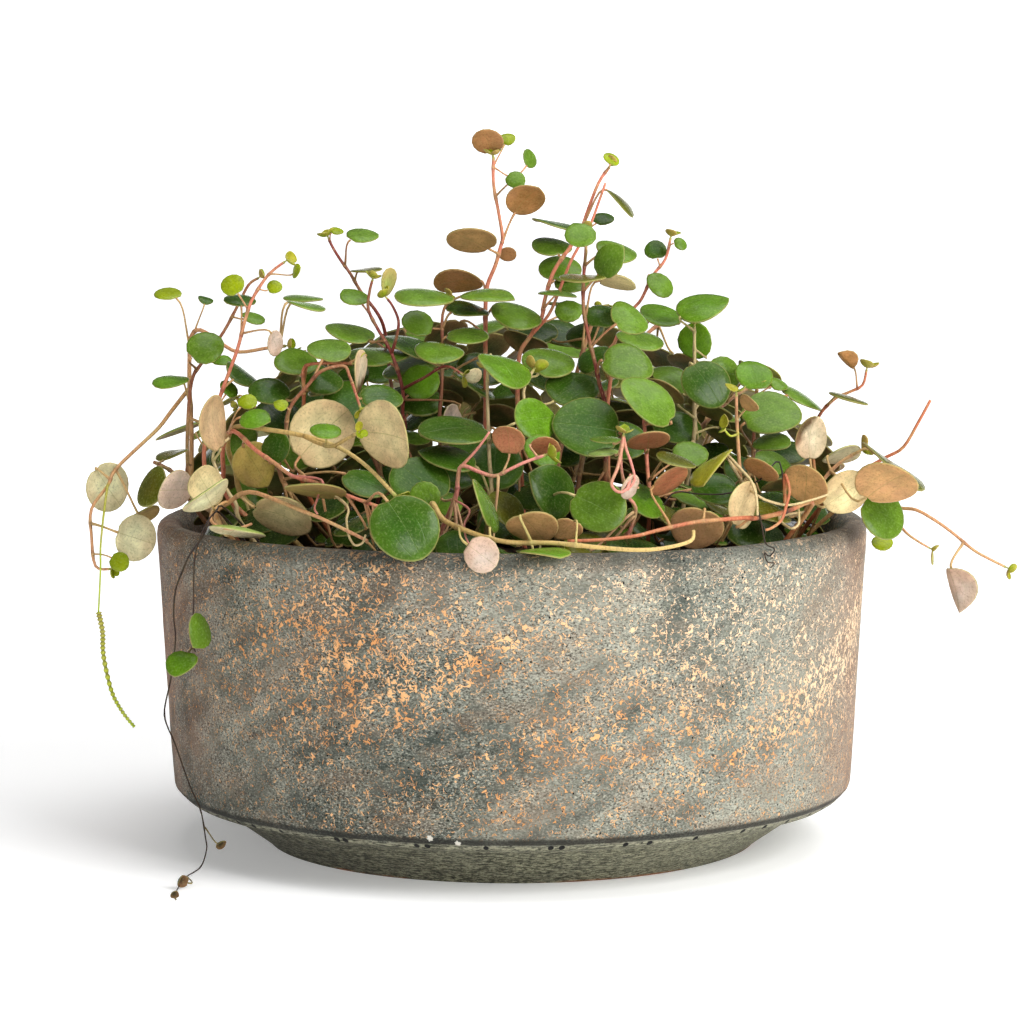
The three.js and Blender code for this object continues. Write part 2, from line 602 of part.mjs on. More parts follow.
// Where a leaf's stalk leaves its stem: a little before the given point of the route.
function onRoute(route, point) {
  return route[point].clone().lerp(route[Math.max(point - 1, 0)], 0.45);
}

// A grown leaf, to the left and right of its stem in turn, facing up and outward.
function grownLeaf(place, route, node, attempt) {
  const start = onRoute(route, node);
  const last = node === route.length - 1;
  const along = route[node].clone().sub(route[node - 1]).normalize();
  const sway = (node % 2 === 0 ? 1 : -1) * (0.9 + 0.9 * draw(place, node, attempt, 5));
  const way = last ? along.clone() : along.clone().applyAxisAngle(UP, sway);
  way.z = 0.25 + 0.5 * draw(place, node, attempt, 6);
  way.normalize();
  const length = (last ? 11 : 20) - 0.7 * node + 4 * (draw(place, node, attempt, 7) - 0.5);
  const middle = start.clone().addScaledVector(way, length / 2 + 4 + 6 * draw(place, node, attempt, 8));
  const outward = new THREE.Vector3(middle.x, middle.y, 0).divideScalar(POT.rimRadius);
  const normal = UP.clone().addScaledVector(outward, 0.3 + 1.1 * draw(place, node, attempt, 9));
  normal.addScaledVector(way, 0.5 * (draw(place, node, attempt, 10) - 0.4));
  return leafAt(start, middle, normal.normalize(), length);
}

// A low leaf, just above the foot of a stem, facing up and outward.
function lowLeaf(place, foot, next, attempt) {
  const number = (key) => draw(place, attempt, key);
  const start = foot.clone().lerp(next, 0.6);
  const heading = 2 * Math.PI * number(11);
  const way = new THREE.Vector3(Math.cos(heading), Math.sin(heading), 0.1 + 0.5 * number(12)).normalize();
  const length = LOW.length + 5 * number(13);
  const middle = start.clone().addScaledVector(way, length / 2 + 4 + 7 * number(14));
  const outward = new THREE.Vector3(middle.x, middle.y, 0).divideScalar(POT.rimRadius);
  const normal = UP.clone().addScaledVector(outward, 0.2 + 1.4 * number(15));
  return leafAt(start, middle, normal.normalize(), length);
}

// What stands already: each solid with its box and the name of its plant or vessel.
const standing = [];

function boxOf(manifold) {
  const { min, max } = manifold.boundingBox();
  return new THREE.Box3(new THREE.Vector3(...min), new THREE.Vector3(...max));
}

function stand(manifold, owner) {
  standing.push({ manifold, owner, box: boxOf(manifold) });
}

// Whether a solid stands clear of all others, those of one owner spared.
function isClear(manifold, spared) {
  const box = boxOf(manifold);
  const near = standing.filter((other) => other.owner !== spared && other.box.intersectsBox(box));
  return near.every((other) => other.manifold.intersect(manifold).isEmpty());
}

// Adds a leaf to its stem at the first of its places that is clear of all that stands.
// The stalk's first stretch may touch its own stem.
function addLeaf(name, solids, places) {
  const free = places.find((leaf) => {
    const swollenBlade = solid(skinned(bladeSections(leaf, GAP), leaf.side));
    const freeStretch = solid(skinned(stalkSections(leaf, GAP, STALK.free), leaf.side));
    const wholeStalk = solid(skinned(stalkSections(leaf, GAP, 0), leaf.side));
    return isClear(swollenBlade) && isClear(freeStretch) && isClear(wholeStalk, name);
  });
  if (free) {
    const leaf = solid(skinned([...stalkSections(free, 0, 0), ...bladeSections(free, 0)], free.side));
    stand(leaf, name);
    solids.push(leaf);
  }
}

const COLOURS = { pot: 0x6f7266, soil: 0x35281f, stem: 0xa8603c, grown: 0x4c7038 };
const part = new THREE.Group();

function addMesh(name, manifold, color, roughness) {
  const material = new THREE.MeshStandardMaterial({ color, roughness, metalness: 0 });
  const mesh = new THREE.Mesh(geometryOf(manifold), material);
  mesh.name = name;
  part.add(mesh);
}

const pot = solid(potGeometry());
stand(pot, "pot");
let soil = solid(soilGeometry());

// Where a stem with the given root stands free of the soil.
function footOf([x, y]) {
  return new THREE.Vector3(x, y, soilTop(Math.hypot(x, y)) + STEM.collar);
}

// The rods of a stem and its twigs, from its root's end in the soil.
function stemRods(root, thick, shoots) {
  const foot = footOf(root);
  const sunk = foot.clone().addScaledVector(UP, -STEM.collar - STEM.sunk);
  return shoots.map(({ route, from, thick: own }) => {
    const begin = from ? [shoots[from[0]].route[from[1]]] : [sunk, foot];
    const radius = (own ?? (from ? 0.8 * thick : thick)) / 2;
    return solid(rodGeometry([...begin, ...route], radius, STEM.taper * radius));
  });
}

// Stems first, so that the blades find their places among them.
const plants = STEMS.map(({ name, root, thick, shoots }) => {
  const traced = shoots.map((shoot) => ({ ...shoot, route: shoot.route.map(seen) }));
  const solids = stemRods(root, thick, traced);
  soil = soil.subtract(solid(holeGeometry(...root, thick / 2)));
  for (const one of solids) stand(one, name);
  return { name, shoots: traced, solids };
});
for (let place = 0; place < GROWN.places; place += 1) {
  const tries = Array.from({ length: GROWN.tries }, (_, attempt) => grownRoute(place, attempt));
  const free = tries.find(({ root, route }) => {
    const [swollen] = stemRods(root, GROWN.thick + 2 * GAP, [{ route }]);
    const inside = route.every(({ x }) => Math.abs(x) < GROWN.halfWidth);
    return root[1] > GROWN.frontLine && inside && isClear(swollen);
  });
  if (free) {
    const [rod] = stemRods(free.root, GROWN.thick, [free]);
    soil = soil.subtract(solid(holeGeometry(...free.root, GROWN.thick / 2)));
    const name = `stem_grown_${place}`;
    stand(rod, name);
    plants.push({ name, place, route: free.route, foot: footOf(free.root), solids: [rod] });
  }
}
stand(soil, "soil");

// Then the leaves: the traced ones first, and the grown ones where there is room.
for (const { name, shoots = [], solids } of plants) {
  for (const { route, leaves } of shoots) {
    for (const entry of leaves) {
      addLeaf(name, solids, NUDGES.map((nudge) => tracedLeaf(onRoute(route, entry[0]), entry, nudge)));
    }
  }
}
const grown = plants.filter(({ route }) => route);
for (const { name, place, route, solids } of grown) {
  for (let node = route.length - 1; node > 0; node -= 1) {
    const tries = Array.from({ length: GROWN.leafTries }, (_, attempt) => grownLeaf(place, route, node, attempt));
    addLeaf(name, solids, tries);
  }
}
for (const { name, place, foot, route, solids } of grown) {
  const tries = Array.from({ length: LOW.tries }, (_, attempt) => lowLeaf(place, foot, route[0], attempt));
  addLeaf(name, solids, tries);
}

for (const { name, solids, route } of plants) {
  addMesh(name, solids.reduce((whole, one) => whole.add(one)), route ? COLOURS.grown : COLOURS.stem, 0.5);
}
addMesh("pot", pot, COLOURS.pot, 0.85);
addMesh("soil", soil, COLOURS.soil, 0.95);

export default part;
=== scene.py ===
# A trailing peperomia in a wide, low round pot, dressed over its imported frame.
# Blender works in metres. The plant's own numbers are in millimetres, as in the part's source.
import math

import bpy
import numpy as np
from mathutils import Matrix, Vector
from mathutils.kdtree import KDTree


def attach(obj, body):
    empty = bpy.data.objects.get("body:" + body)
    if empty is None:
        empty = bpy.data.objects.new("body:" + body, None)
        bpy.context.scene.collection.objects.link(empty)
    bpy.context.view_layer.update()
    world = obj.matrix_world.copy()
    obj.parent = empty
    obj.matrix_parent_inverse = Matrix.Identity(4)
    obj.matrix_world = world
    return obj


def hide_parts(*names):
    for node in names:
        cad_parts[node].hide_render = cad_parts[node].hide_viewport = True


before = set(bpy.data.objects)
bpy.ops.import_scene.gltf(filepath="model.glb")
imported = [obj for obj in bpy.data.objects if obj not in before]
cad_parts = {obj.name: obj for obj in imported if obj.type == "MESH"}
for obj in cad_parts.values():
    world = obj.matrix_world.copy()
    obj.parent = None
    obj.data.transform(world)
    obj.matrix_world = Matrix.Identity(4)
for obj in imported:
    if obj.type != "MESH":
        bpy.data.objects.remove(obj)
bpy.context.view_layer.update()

MM = 0.001


# The pot: a wide, low drum of stoneware, thrown and hand finished, with a rounded lip, a flat flaring
# underside and a narrower solid foot. Its clay is grey-green and grainy, and a peach-coloured slip
# was dabbed on and rubbed back, so that it stays as worm-like flecks in diagonal drifts.
POT_SIDES = 192
POT_FOOT = [(78.9, 0), (79.6, 0.25), (80.1, 0.9), (83.6, 3.5), (90.2, 8.2), (95.6, 12), (98.2, 13.5),
            (100.5, 14.2), (104.4, 15.1), (106.2, 15.6), (107.4, 16.3), (109, 17.9), (110, 19.1)]
WALL_BOTTOM = (110.35, 20.3)
WALL_TOP = (114.9, 98.2)
WALL_STEPS = 18
POT_RIM = [(115, 100.4), (114.75, 102.4), (114, 103.9), (112.8, 104.8), (111.2, 105), (109.5, 104.8),
           (108, 104), (107, 102.6), (106.5, 100.6), (106, 97), (105.5, 91), (101, 54), (97, 20), (50, 20)]
FOOT_FLAT = 2
HAND_MARKS = [("CLOUDS", 0.055, 0.9), ("CLOUDS", 0.012, 0.35)]
DRIFT_TURN = 16.5
PITS = 52
PIT_HEIGHT = 16.7
PIT_RADIUS = 107
CHIPS = [(-24.3, -107.3, 19.7), (-16, -108.2, 18.3)]
CHIP_SIZE = (0.0019, 0.0021)

# The heights, in metres, that a finish or a painted shade comes in between, and for a band also those it ends
# between.
RUSTY = (0.0004, 0.0011)
LEDGE = (0.0157, 0.0162, 0.0172, 0.0178)
FOOT_TOP = (0.0165, 0.0185)
GROOVE_SHADE_HEIGHTS = (0.0174, 0.0179, 0.019, 0.0204)
SLIP_EDGE = (0.0185, 0.0205)
THIN_BELOW = (0.022, 0.062)
THIN_ABOVE = (0.08, 0.1)
LIP_SHADE_HEIGHTS = (0.0985, 0.104)


def node(tree, kind, inputs=None, **settings):
    made = tree.nodes.new(kind)
    for name, value in settings.items():
        setattr(made, name, value)
    for name, value in (inputs or {}).items():
        socket = made.inputs[name]
        if isinstance(value, bpy.types.NodeSocket):
            tree.links.new(value, socket)
        else:
            socket.default_value = value
    return made


def maths(tree, operation, *values):
    return node(tree, "ShaderNodeMath", dict(enumerate(values)), operation=operation).outputs[0]


def times(tree, first, second):
    return maths(tree, "MULTIPLY", first, second)


def plus(tree, first, second):
    return maths(tree, "ADD", first, second)


def hypotenuse(tree, first, second):
    return maths(tree, "SQRT", plus(tree, times(tree, first, first), times(tree, second, second)))


def mixed(tree, share, first, second):
    inputs = {0: share, 6: first, 7: second}
    return node(tree, "ShaderNodeMix", inputs, data_type="RGBA").outputs[2]


def layered(tree, ground, *coats):
    """Coats of paint laid one over the other, each as (share, colour)."""
    for share, colour in coats:
        ground = mixed(tree, share, ground, colour)
    return ground


def eased(tree, value, low, high, at_low=0.0, at_high=1.0):
    inputs = {"Value": value, "From Min": low, "From Max": high, "To Min": at_low, "To Max": at_high}
    return node(tree, "ShaderNodeMapRange", inputs, interpolation_type="SMOOTHSTEP").outputs[0]


def band(tree, value, heights, share):
    """A share that comes in between the first two heights and ends between the last two."""
    return times(tree, eased(tree, value, *heights[:2]), eased(tree, value, *heights[2:], share, 0))


def scaled(tree, vector, *scale):
    return node(tree, "ShaderNodeVectorMath", {0: vector, 1: scale}, operation="MULTIPLY").outputs[0]


def noise(tree, vector, scale, detail, roughness, distortion=0.0):
    inputs = {"Vector": vector, "Scale": scale, "Detail": detail, "Roughness": roughness,
              "Distortion": distortion}
    return node(tree, "ShaderNodeTexNoise", inputs).outputs[0]


def paint(red, green, blue):
    """A colour given in the usual 0 to 255 steps, as Blender's linear colour."""
    steps = [value / 255 for value in (red, green, blue)]
    return tuple(s / 12.92 if s <= 0.04045 else ((s + 0.055) / 1.055) ** 2.4 for s in steps) + (1.0,)


def new_material(name, roughness, specular=0.5):
    """A material with its node tree, its shader and the place on the object that its patterns follow."""
    material = bpy.data.materials.new(name)
    material.use_nodes = True
    tree = material.node_tree
    skin = tree.nodes["Principled BSDF"]
    skin.inputs["Roughness"].default_value = roughness
    skin.inputs["Specular IOR Level"].default_value = specular
    return material, tree, skin, node(tree, "ShaderNodeTexCoord").outputs["Object"]


def colour_and_relief(tree, skin, colour, relief, distance, strength):
    """Gives a shader its colour, and the fine relief that catches the light."""
    tree.links.new(colour, skin.inputs["Base Color"])
    bump = node(tree, "ShaderNodeBump", {"Height": relief, "Distance": distance, "Strength": strength})
    tree.links.new(bump.outputs[0], skin.inputs["Normal"])


def cover(piece, material):
    piece.data.materials.clear()
    piece.data.materials.append(material)


def stand_for(piece, name):
    """Lets a finished piece stand for its frame node."""
    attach(piece, "root")
    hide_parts(name)


def only(piece):
    """Makes one piece the only one that the next operator acts on."""
    bpy.ops.object.select_all(action="DESELECT")
    piece.select_set(True)
    bpy.context.view_layer.objects.active = piece


def apply_all(piece):
    bpy.context.view_layer.objects.active = piece
    for modifier in list(piece.modifiers):
        bpy.ops.object.modifier_apply(modifier=modifier.name)


def turned_body(name, sides, rings):
    """A closed body raised ring by ring from a disc, as (radius, height) in millimetres."""
    bpy.ops.object.select_all(action="DESELECT")
    radius, height = rings[0]
    bpy.ops.mesh.primitive_circle_add(vertices=sides, radius=radius * MM, fill_type="NGON",
                                      location=(0, 0, height * MM))
    body = bpy.context.object
    body.name = name
    bpy.ops.object.mode_set(mode="EDIT")
    for (narrow, low), (wide, high) in zip(rings, rings[1:]):
        bpy.ops.mesh.extrude_region_move(TRANSFORM_OT_translate={"value": (0, 0, (high - low) * MM)})
        bpy.ops.transform.resize(value=(wide / narrow, wide / narrow, 1), center_override=(0, 0, high * MM))
    bpy.ops.mesh.poke()
    bpy.ops.mesh.select_all(action="SELECT")
    bpy.ops.mesh.normals_make_consistent(inside=False)
    bpy.ops.object.mode_set(mode="OBJECT")
    bpy.ops.object.transform_apply(location=True, rotation=True, scale=True)
    bpy.ops.object.shade_smooth_by_angle(angle=math.radians(50))
    return body


def unevenness(body, name, spots, layers, direction="NORMAL"):
    """Moves some spots of a body by layers of a pattern: (kind, wave in metres, strength in millimetres)."""
    body.vertex_groups.new(name=name).add(spots, 1, "REPLACE")
    for kind, wave, strength in layers:
        pattern = bpy.data.textures.new(name, kind)
        pattern.noise_scale = wave
        displace = body.modifiers.new(name, "DISPLACE")
        displace.texture = pattern
        displace.vertex_group = name
        displace.texture_coords = "LOCAL"
        displace.direction = direction
        displace.mid_level = 0.5
        displace.strength = strength * MM
    apply_all(body)


wall_rings = []
for step in range(WALL_STEPS + 1):
    share = step / WALL_STEPS
    wall_rings.append([low + share * (high - low) for low, high in zip(WALL_BOTTOM, WALL_TOP)])
pot = turned_body("pot_body", POT_SIDES, POT_FOOT + wall_rings + POT_RIM)
above_foot = [vertex.index for vertex in pot.data.vertices if vertex.co.z > FOOT_FLAT * MM]
unevenness(pot, "hand_finish", above_foot, HAND_MARKS)

stoneware, tree, skin, place = new_material("rubbed_stoneware", 0.85, 0.28)
across, deep, height = node(tree, "ShaderNodeSeparateXYZ", {0: place}).outputs
aside = maths(tree, "ABSOLUTE", across)

# Drifts and streaks climb round the wall, because their pattern is turned further the higher it is.
climbing = {"Vector": place, "Angle": times(tree, height, -DRIFT_TURN)}
turned = node(tree, "ShaderNodeVectorRotate", climbing, rotation_type="Z_AXIS").outputs[0]

# The clay: slate and grey-green clouds under a salt-and-pepper grain, faintly brushed along the wall.
SLATE = paint(58, 66, 61)
PALE_CLAY = paint(152, 155, 141)
WARM_CLAY = paint(142, 118, 98)
BRUSHED_CLAY = paint(112, 110, 94)
DARK_GRAIN = paint(18, 20, 17)
PALE_GRAIN = paint(200, 198, 180)
RED_CLAY = paint(150, 106, 82)
clouds = noise(tree, place, 17, 5, 0.6, 0.5)
patches = noise(tree, place, 95, 4, 0.6)
grain = noise(tree, scaled(tree, place, 1, 1, 1.6), 1250, 3, 0.7)
brushed = noise(tree, scaled(tree, place, 1, 1, 9), 130, 3, 0.6)
streaks = noise(tree, scaled(tree, turned, 1, 1, 0.35), 75, 4, 0.6)
warmth = noise(tree, scaled(tree, place, 1, 1, 2.5), 48, 3, 0.6)
pale_and_lit_right = maths(tree, "MULTIPLY_ADD", clouds, 0.6, times(tree, plus(tree, patches, streaks), 0.42))
# Painted light: the clay is painted paler towards the right, where the lamp falls on it.
pale_and_lit_right = plus(tree, pale_and_lit_right, times(tree, across, 0.8))
rough = eased(tree, patches, 0.36, 0.58, 0.4, 1)
clay = layered(
    tree, mixed(tree, eased(tree, pale_and_lit_right, 0.52, 0.96), SLATE, PALE_CLAY),
    (eased(tree, warmth, 0.46, 0.64, 0, 0.32), WARM_CLAY),
    (eased(tree, brushed, 0.42, 0.7, 0, 0.35), BRUSHED_CLAY),
    (times(tree, eased(tree, grain, 0.37, 0.5, 0.9, 0), rough), DARK_GRAIN),
    (times(tree, eased(tree, grain, 0.52, 0.66, 0, 0.6), rough), PALE_GRAIN),
    (times(tree, eased(tree, aside, 0.085, 0.115, 0.06, 0.55), eased(tree, clouds, 0.35, 0.6)), RED_CLAY),
)

# The slip: dabs and broken curls that lie in drifts, with a thin ring of painted shade round each where it
# stands off the clay.
# They are painted paler towards the top and the right, as painted light.
DEEP_SLIP = paint(212, 150, 92)
PEACH_SLIP = paint(236, 188, 134)
SLIP_PAINTED_LIGHT = paint(240, 212, 178)
PAINTED_SHADE = paint(36, 34, 28)
drifts = noise(tree, scaled(tree, turned, 1, 1, 0.3), 30, 3, 0.6)
drifts = maths(tree, "MULTIPLY_ADD", noise(tree, place, 120, 2, 0.5), 0.3, drifts)
thick_slip = times(tree, eased(tree, drifts, 0.26, 0.92), eased(tree, across, -0.108, -0.05, 0.25, 1))
thick_slip = times(tree, thick_slip, eased(tree, height, *THIN_BELOW, 0.34, 1))
thick_slip = times(tree, thick_slip, eased(tree, height, *THIN_ABOVE, 1, 0.6))
dab_field = noise(tree, place, 600, 3, 0.6, 0.6)
dabs_need = maths(tree, "MULTIPLY_ADD", thick_slip, -0.17, 0.685)
dabs = eased(tree, dab_field, dabs_need, plus(tree, dabs_need, 0.025))
slip_shade_ring = eased(tree, dab_field, maths(tree, "SUBTRACT", dabs_need, 0.045), dabs_need)
curl = maths(tree, "ABSOLUTE", maths(tree, "SUBTRACT", noise(tree, place, 360, 2.5, 0.55, 0.7), 0.5))
width = maths(tree, "MULTIPLY_ADD", thick_slip, 0.048, 0.002)
curls = eased(tree, curl, times(tree, width, 0.55), width, 1, 0)
breaks = eased(tree, noise(tree, place, 520, 2, 0.5), 0.47, 0.53)
above_edge = eased(tree, height, *SLIP_EDGE)
slip = times(tree, maths(tree, "MAXIMUM", times(tree, curls, breaks), dabs), above_edge)
slip_paint = mixed(tree, eased(tree, patches, 0.35, 0.65), DEEP_SLIP, PEACH_SLIP)
# Painted light: the slip turns paler towards the top and the right.
sunlit = eased(tree, plus(tree, height, times(tree, across, 0.5)), 0.07, 0.12, 0, 0.8)
slip_paint = mixed(tree, sunlit, slip_paint, SLIP_PAINTED_LIGHT)
# A thin ring of painted shade round each dab, where it stands off the clay.
slip_shade_share = times(tree, slip_shade_ring, times(tree, above_edge, 0.5))
body = layered(tree, clay, (slip_shade_share, PAINTED_SHADE), (slip, slip_paint))

# The foot: the same clay left bare, darker and scratched round, with rust-red where it was set down.
# It is painted lighter towards the right and darker towards the left, as painted light and shade.
FOOT_DARK = paint(50, 52, 41)
FOOT_PALE = paint(160, 158, 130)
FOOT_PAINTED_LIGHT = paint(156, 154, 130)
FOOT_BRUSHED = paint(66, 62, 48)
DARK_SPECK_AND_SHADE = paint(24, 24, 19)
RUST = paint(160, 92, 52)
scratches = noise(tree, scaled(tree, place, 1, 1, 5), 430, 4, 0.7)
rust = times(tree, eased(tree, height, *RUSTY, 1, 0), eased(tree, clouds, 0.45, 0.55))
foot_clay = layered(
    tree, mixed(tree, eased(tree, scratches, 0.4, 0.6), FOOT_DARK, FOOT_PALE),
    # Painted light on the right of the foot, and painted shade on its left.
    (eased(tree, across, 0, 0.07, 0, 0.35), FOOT_PAINTED_LIGHT),
    (eased(tree, brushed, 0.4, 0.6, 0.3, 0), FOOT_BRUSHED),
    (eased(tree, grain, 0.4, 0.5, 0.65, 0), DARK_SPECK_AND_SHADE),
    (eased(tree, across, -0.09, 0.03, 0.55, 0), PAINTED_SHADE),
    (times(tree, rust, 0.6), RUST),
)

# Its edges and marks: a worn ledge over the foot, a band of painted shade in the groove under the wall's
# edge, a lip darkened by painted shade, two chips, and pin-holes all over and a row of larger holes under the
# lower edge, painted black as the shade inside them.
LEDGE_PAINT = paint(168, 166, 142)
PAINTED_LIP_SHADE = paint(52, 53, 47)
CHIP_PAINT = paint(206, 202, 190)
HOLE_SHADE = paint(10, 10, 8)
body = layered(
    tree, body,
    (eased(tree, height, *FOOT_TOP, 1, 0), foot_clay),
    (times(tree, band(tree, height, LEDGE, 0.35), eased(tree, scratches, 0.42, 0.56)), LEDGE_PAINT),
    # Painted shade in the groove under the wall's lower edge.
    (band(tree, height, GROOVE_SHADE_HEIGHTS, 0.85), DARK_SPECK_AND_SHADE),
    # Painted shade of the leaves over the lip, fading out at its left end.
    (times(tree, eased(tree, height, *LIP_SHADE_HEIGHTS), eased(tree, across, -0.1, -0.08, 0.1, 0.62)), PAINTED_LIP_SHADE),
)
for spot in CHIPS:
    apart = node(tree, "ShaderNodeVectorMath", {0: place, 1: Vector(spot) * MM}, operation="DISTANCE")
    ragged = maths(tree, "MULTIPLY_ADD", grain, 0.0022, apart.outputs["Value"])
    body = mixed(tree, eased(tree, ragged, *CHIP_SIZE, 1, 0), body, CHIP_PAINT)
holes = node(tree, "ShaderNodeTexVoronoi", {"Vector": place, "Scale": 330.0})
chance = node(tree, "ShaderNodeSeparateColor", {0: holes.outputs["Color"]}).outputs[0]
hollow = eased(tree, holes.outputs["Distance"], 0.08, 0.13, 1, 0)
pin_holes = times(tree, hollow, eased(tree, chance, 0.6, 0.62))
round_the_pot = times(tree, maths(tree, "ARCTAN2", deep, across), PITS / math.tau)
large = node(tree, "ShaderNodeTexVoronoi", {"W": round_the_pot, "Scale": 1.0}, voronoi_dimensions="1D")
along = times(tree, large.outputs["Distance"], math.tau * PIT_RADIUS / PITS)
below = times(tree, maths(tree, "SUBTRACT", height, PIT_HEIGHT * MM), 1.1 / MM)
ragged = maths(tree, "MULTIPLY_ADD", patches, 1.1, hypotenuse(tree, along, below))
pits = maths(tree, "MAXIMUM", pin_holes, eased(tree, ragged, 1.3, 1.5, 1, 0))
relief = maths(tree, "MULTIPLY_ADD", grain, 0.4, times(tree, patches, 0.6))
relief = maths(tree, "MULTIPLY_ADD", slip, 0.7, relief)
relief = maths(tree, "SUBTRACT", relief, times(tree, pits, 1.2))
# The pits are painted black, as painted shade inside them.
colour_and_relief(tree, skin, mixed(tree, pits, body, HOLE_SHADE), relief, 0.0005, 0.6)
tree.links.new(eased(tree, patches, 0.3, 0.7, 0.9, 0.68), skin.inputs["Roughness"])
cover(pot, stoneware)
stand_for(pot, "pot")


# The potting soil: dark, crumbly peat with bits of bark, pressed in by hand to just under the rim.
# It lies loose in the pot and holds the roots. Its colours are made darker still, as painted shade under the
# plant.
SOIL_SIDES = 96
SOIL_RINGS = [(96.65, 20.35), (100.7, 54), (105.1, 90.2), (104.6, 91.2), (100, 91.5), (96, 91.8), (89, 92.2),
              (82, 92.6), (75, 93), (68, 93.4), (61, 93.7), (54, 94), (47, 94.2), (40, 94.5), (33, 94.6),
              (26, 94.8), (19, 94.9), (12, 95), (5, 95)]
LOOSE_ABOVE = 91.3
LOOSE_INSIDE = 102
CRUMBS = [("CLOUDS", 0.014, 1.6), ("VORONOI", 0.0042, -2.2), ("CLOUDS", 0.002, 0.8)]
# The peat's colours: its own dark brown with painted shade.
PEAT_DARK_AND_SHADE = paint(12, 9, 6)
PEAT_BROWN_AND_SHADE = paint(58, 42, 30)
BARK_BIT = paint(96, 66, 42)

soil = turned_body("soil_fill", SOIL_SIDES, SOIL_RINGS)
finer = soil.modifiers.new("finer", "SUBSURF")
finer.subdivision_type = "SIMPLE"
finer.levels = finer.render_levels = 2
apply_all(soil)
loose_top = [vertex.index for vertex in soil.data.vertices
             if vertex.co.z > LOOSE_ABOVE * MM and math.hypot(vertex.co.x, vertex.co.y) < LOOSE_INSIDE * MM]
unevenness(soil, "crumb", loose_top, CRUMBS, "Z")

peat, tree, skin, place = new_material("peat", 0.95, 0.15)
crumbs = noise(tree, place, 260, 6, 0.7)
bits = node(tree, "ShaderNodeTexVoronoi", {"Vector": place, "Scale": 300.0}).outputs["Color"]
bits = node(tree, "ShaderNodeSeparateColor", {0: bits}).outputs[0]
peat_tint = mixed(tree, eased(tree, crumbs, 0.3, 0.7), PEAT_DARK_AND_SHADE, PEAT_BROWN_AND_SHADE)
peat_tint = mixed(tree, eased(tree, bits, 0.86, 0.9, 0, 0.8), peat_tint, BARK_BIT)
colour_and_relief(tree, skin, peat_tint, crumbs, 0.0006, 0.8)
cover(soil, peat)
stand_for(soil, "soil")


# The leaf blades: fleshy and nearly round, glossy green above and paler or coppery below, with a thin
# pale rim. One flat blade of length 1 is modelled for each outline, with its tip towards +Y, and every
# leaf is a copy that is cupped, turned and coloured for its own place.
BLADE_SIDES = 24
BLADE_RINGS = [0.03, 0.12, 0.17]
SMALL_SIDES = 14
SMALL_RINGS = [0.05, 0.2]
EDGE_THINNING = 0.45

# The two colours of each look, upper face first: greens (g, d, b), the darkest green as painted shade for
# leaves deep in the plant (s), lime (l), olive (o), and blades that show a coppery (c, n, a, m), cream (p, e,
# and w, made paler still as painted light through the blade), pink (k), beige (t), yellow (y) or dead (x)
# face.
BLADE_LOOKS = {
    "g": ((92, 126, 34), (152, 150, 82)), "d": ((49, 84, 17), (130, 132, 78)),
    "b": ((92, 136, 22), (168, 180, 92)), "s": ((30, 56, 12), (96, 94, 54)),
    "l": ((142, 157, 10), (166, 180, 38)), "o": ((84, 80, 16), (160, 146, 80)),
    "c": ((66, 82, 28), (192, 134, 80)), "n": ((108, 90, 36), (200, 154, 102)),
    "a": ((120, 104, 48), (236, 182, 118)), "m": ((110, 108, 60), (204, 124, 88)),
    # w's pale under face is made paler still, as painted light shining through the thin blade.
    "p": ((82, 118, 34), (238, 220, 164)), "w": ((142, 164, 86), (238, 236, 190)),
    "e": ((150, 140, 84), (234, 216, 182)), "k": ((92, 108, 40), (228, 206, 190)),
    "t": ((150, 140, 84), (194, 164, 126)), "y": ((172, 164, 40), (178, 162, 70)),
    "x": ((46, 34, 24), (58, 42, 28)),
}


def flat_blade(name, sides, rings, shape):
    """A flat blade with rings of faces round a middle point, given its outline and its two faces."""
    bpy.ops.object.select_all(action="DESELECT")
    bpy.ops.mesh.primitive_circle_add(vertices=sides, radius=0.5, fill_type="NGON")
    blade = bpy.context.object
    blade.name = name
    bpy.ops.object.mode_set(mode="EDIT")
    for width in rings:
        bpy.ops.mesh.inset(thickness=width, use_boundary=True)
    bpy.ops.mesh.poke()
    bpy.ops.object.mode_set(mode="OBJECT")
    chart = blade.data.uv_layers.active.data
    for loop in blade.data.loops:
        spot = blade.data.vertices[loop.vertex_index].co
        chart[loop.index].uv = (spot.x + 0.5, spot.y + 0.5)
    for vertex in blade.data.vertices:
        vertex.co.x, vertex.co.y = shape(vertex.co.x, vertex.co.y)
    faces = blade.modifiers.new("faces", "SOLIDIFY")
    faces.thickness = 1
    faces.offset = 0
    faces.use_even_offset = False
    apply_all(blade)
    mesh = blade.data
    edge = {index for face in mesh.polygons if abs(face.normal.z) < 0.5 for index in face.vertices}
    side_of = mesh.attributes.new("upper", "FLOAT", "POINT")
    for vertex in mesh.vertices:
        side_of.data[vertex.index].value = 1.0 if vertex.co.z > 0 else 0.0
        if vertex.index in edge:
            vertex.co.z *= EDGE_THINNING
    mesh.attributes.new("tint", "FLOAT_COLOR", "POINT")
    mesh.shade_smooth()
    return blade


def round_outline(x, y):
    notch = 0.05 * max(0, 1 - 7 * abs(x)) * max(0, -2 * y)
    return x * (0.98 - 0.06 * y), y + 0.02 * max(0, y) * (1 - 2.4 * abs(x)) + notch


def egg_outline(x, y):
    tapering = math.sqrt(max(0, 1 - (2 * max(0, y)) ** 4))
    return x * (0.92 - 0.26 * y) * tapering, y + 0.04 * max(0, y)


def spoon_outline(x, y):
    return x * (0.88 + 0.2 * y), y - 0.02 * max(0, y) * (1 - 3 * abs(x))


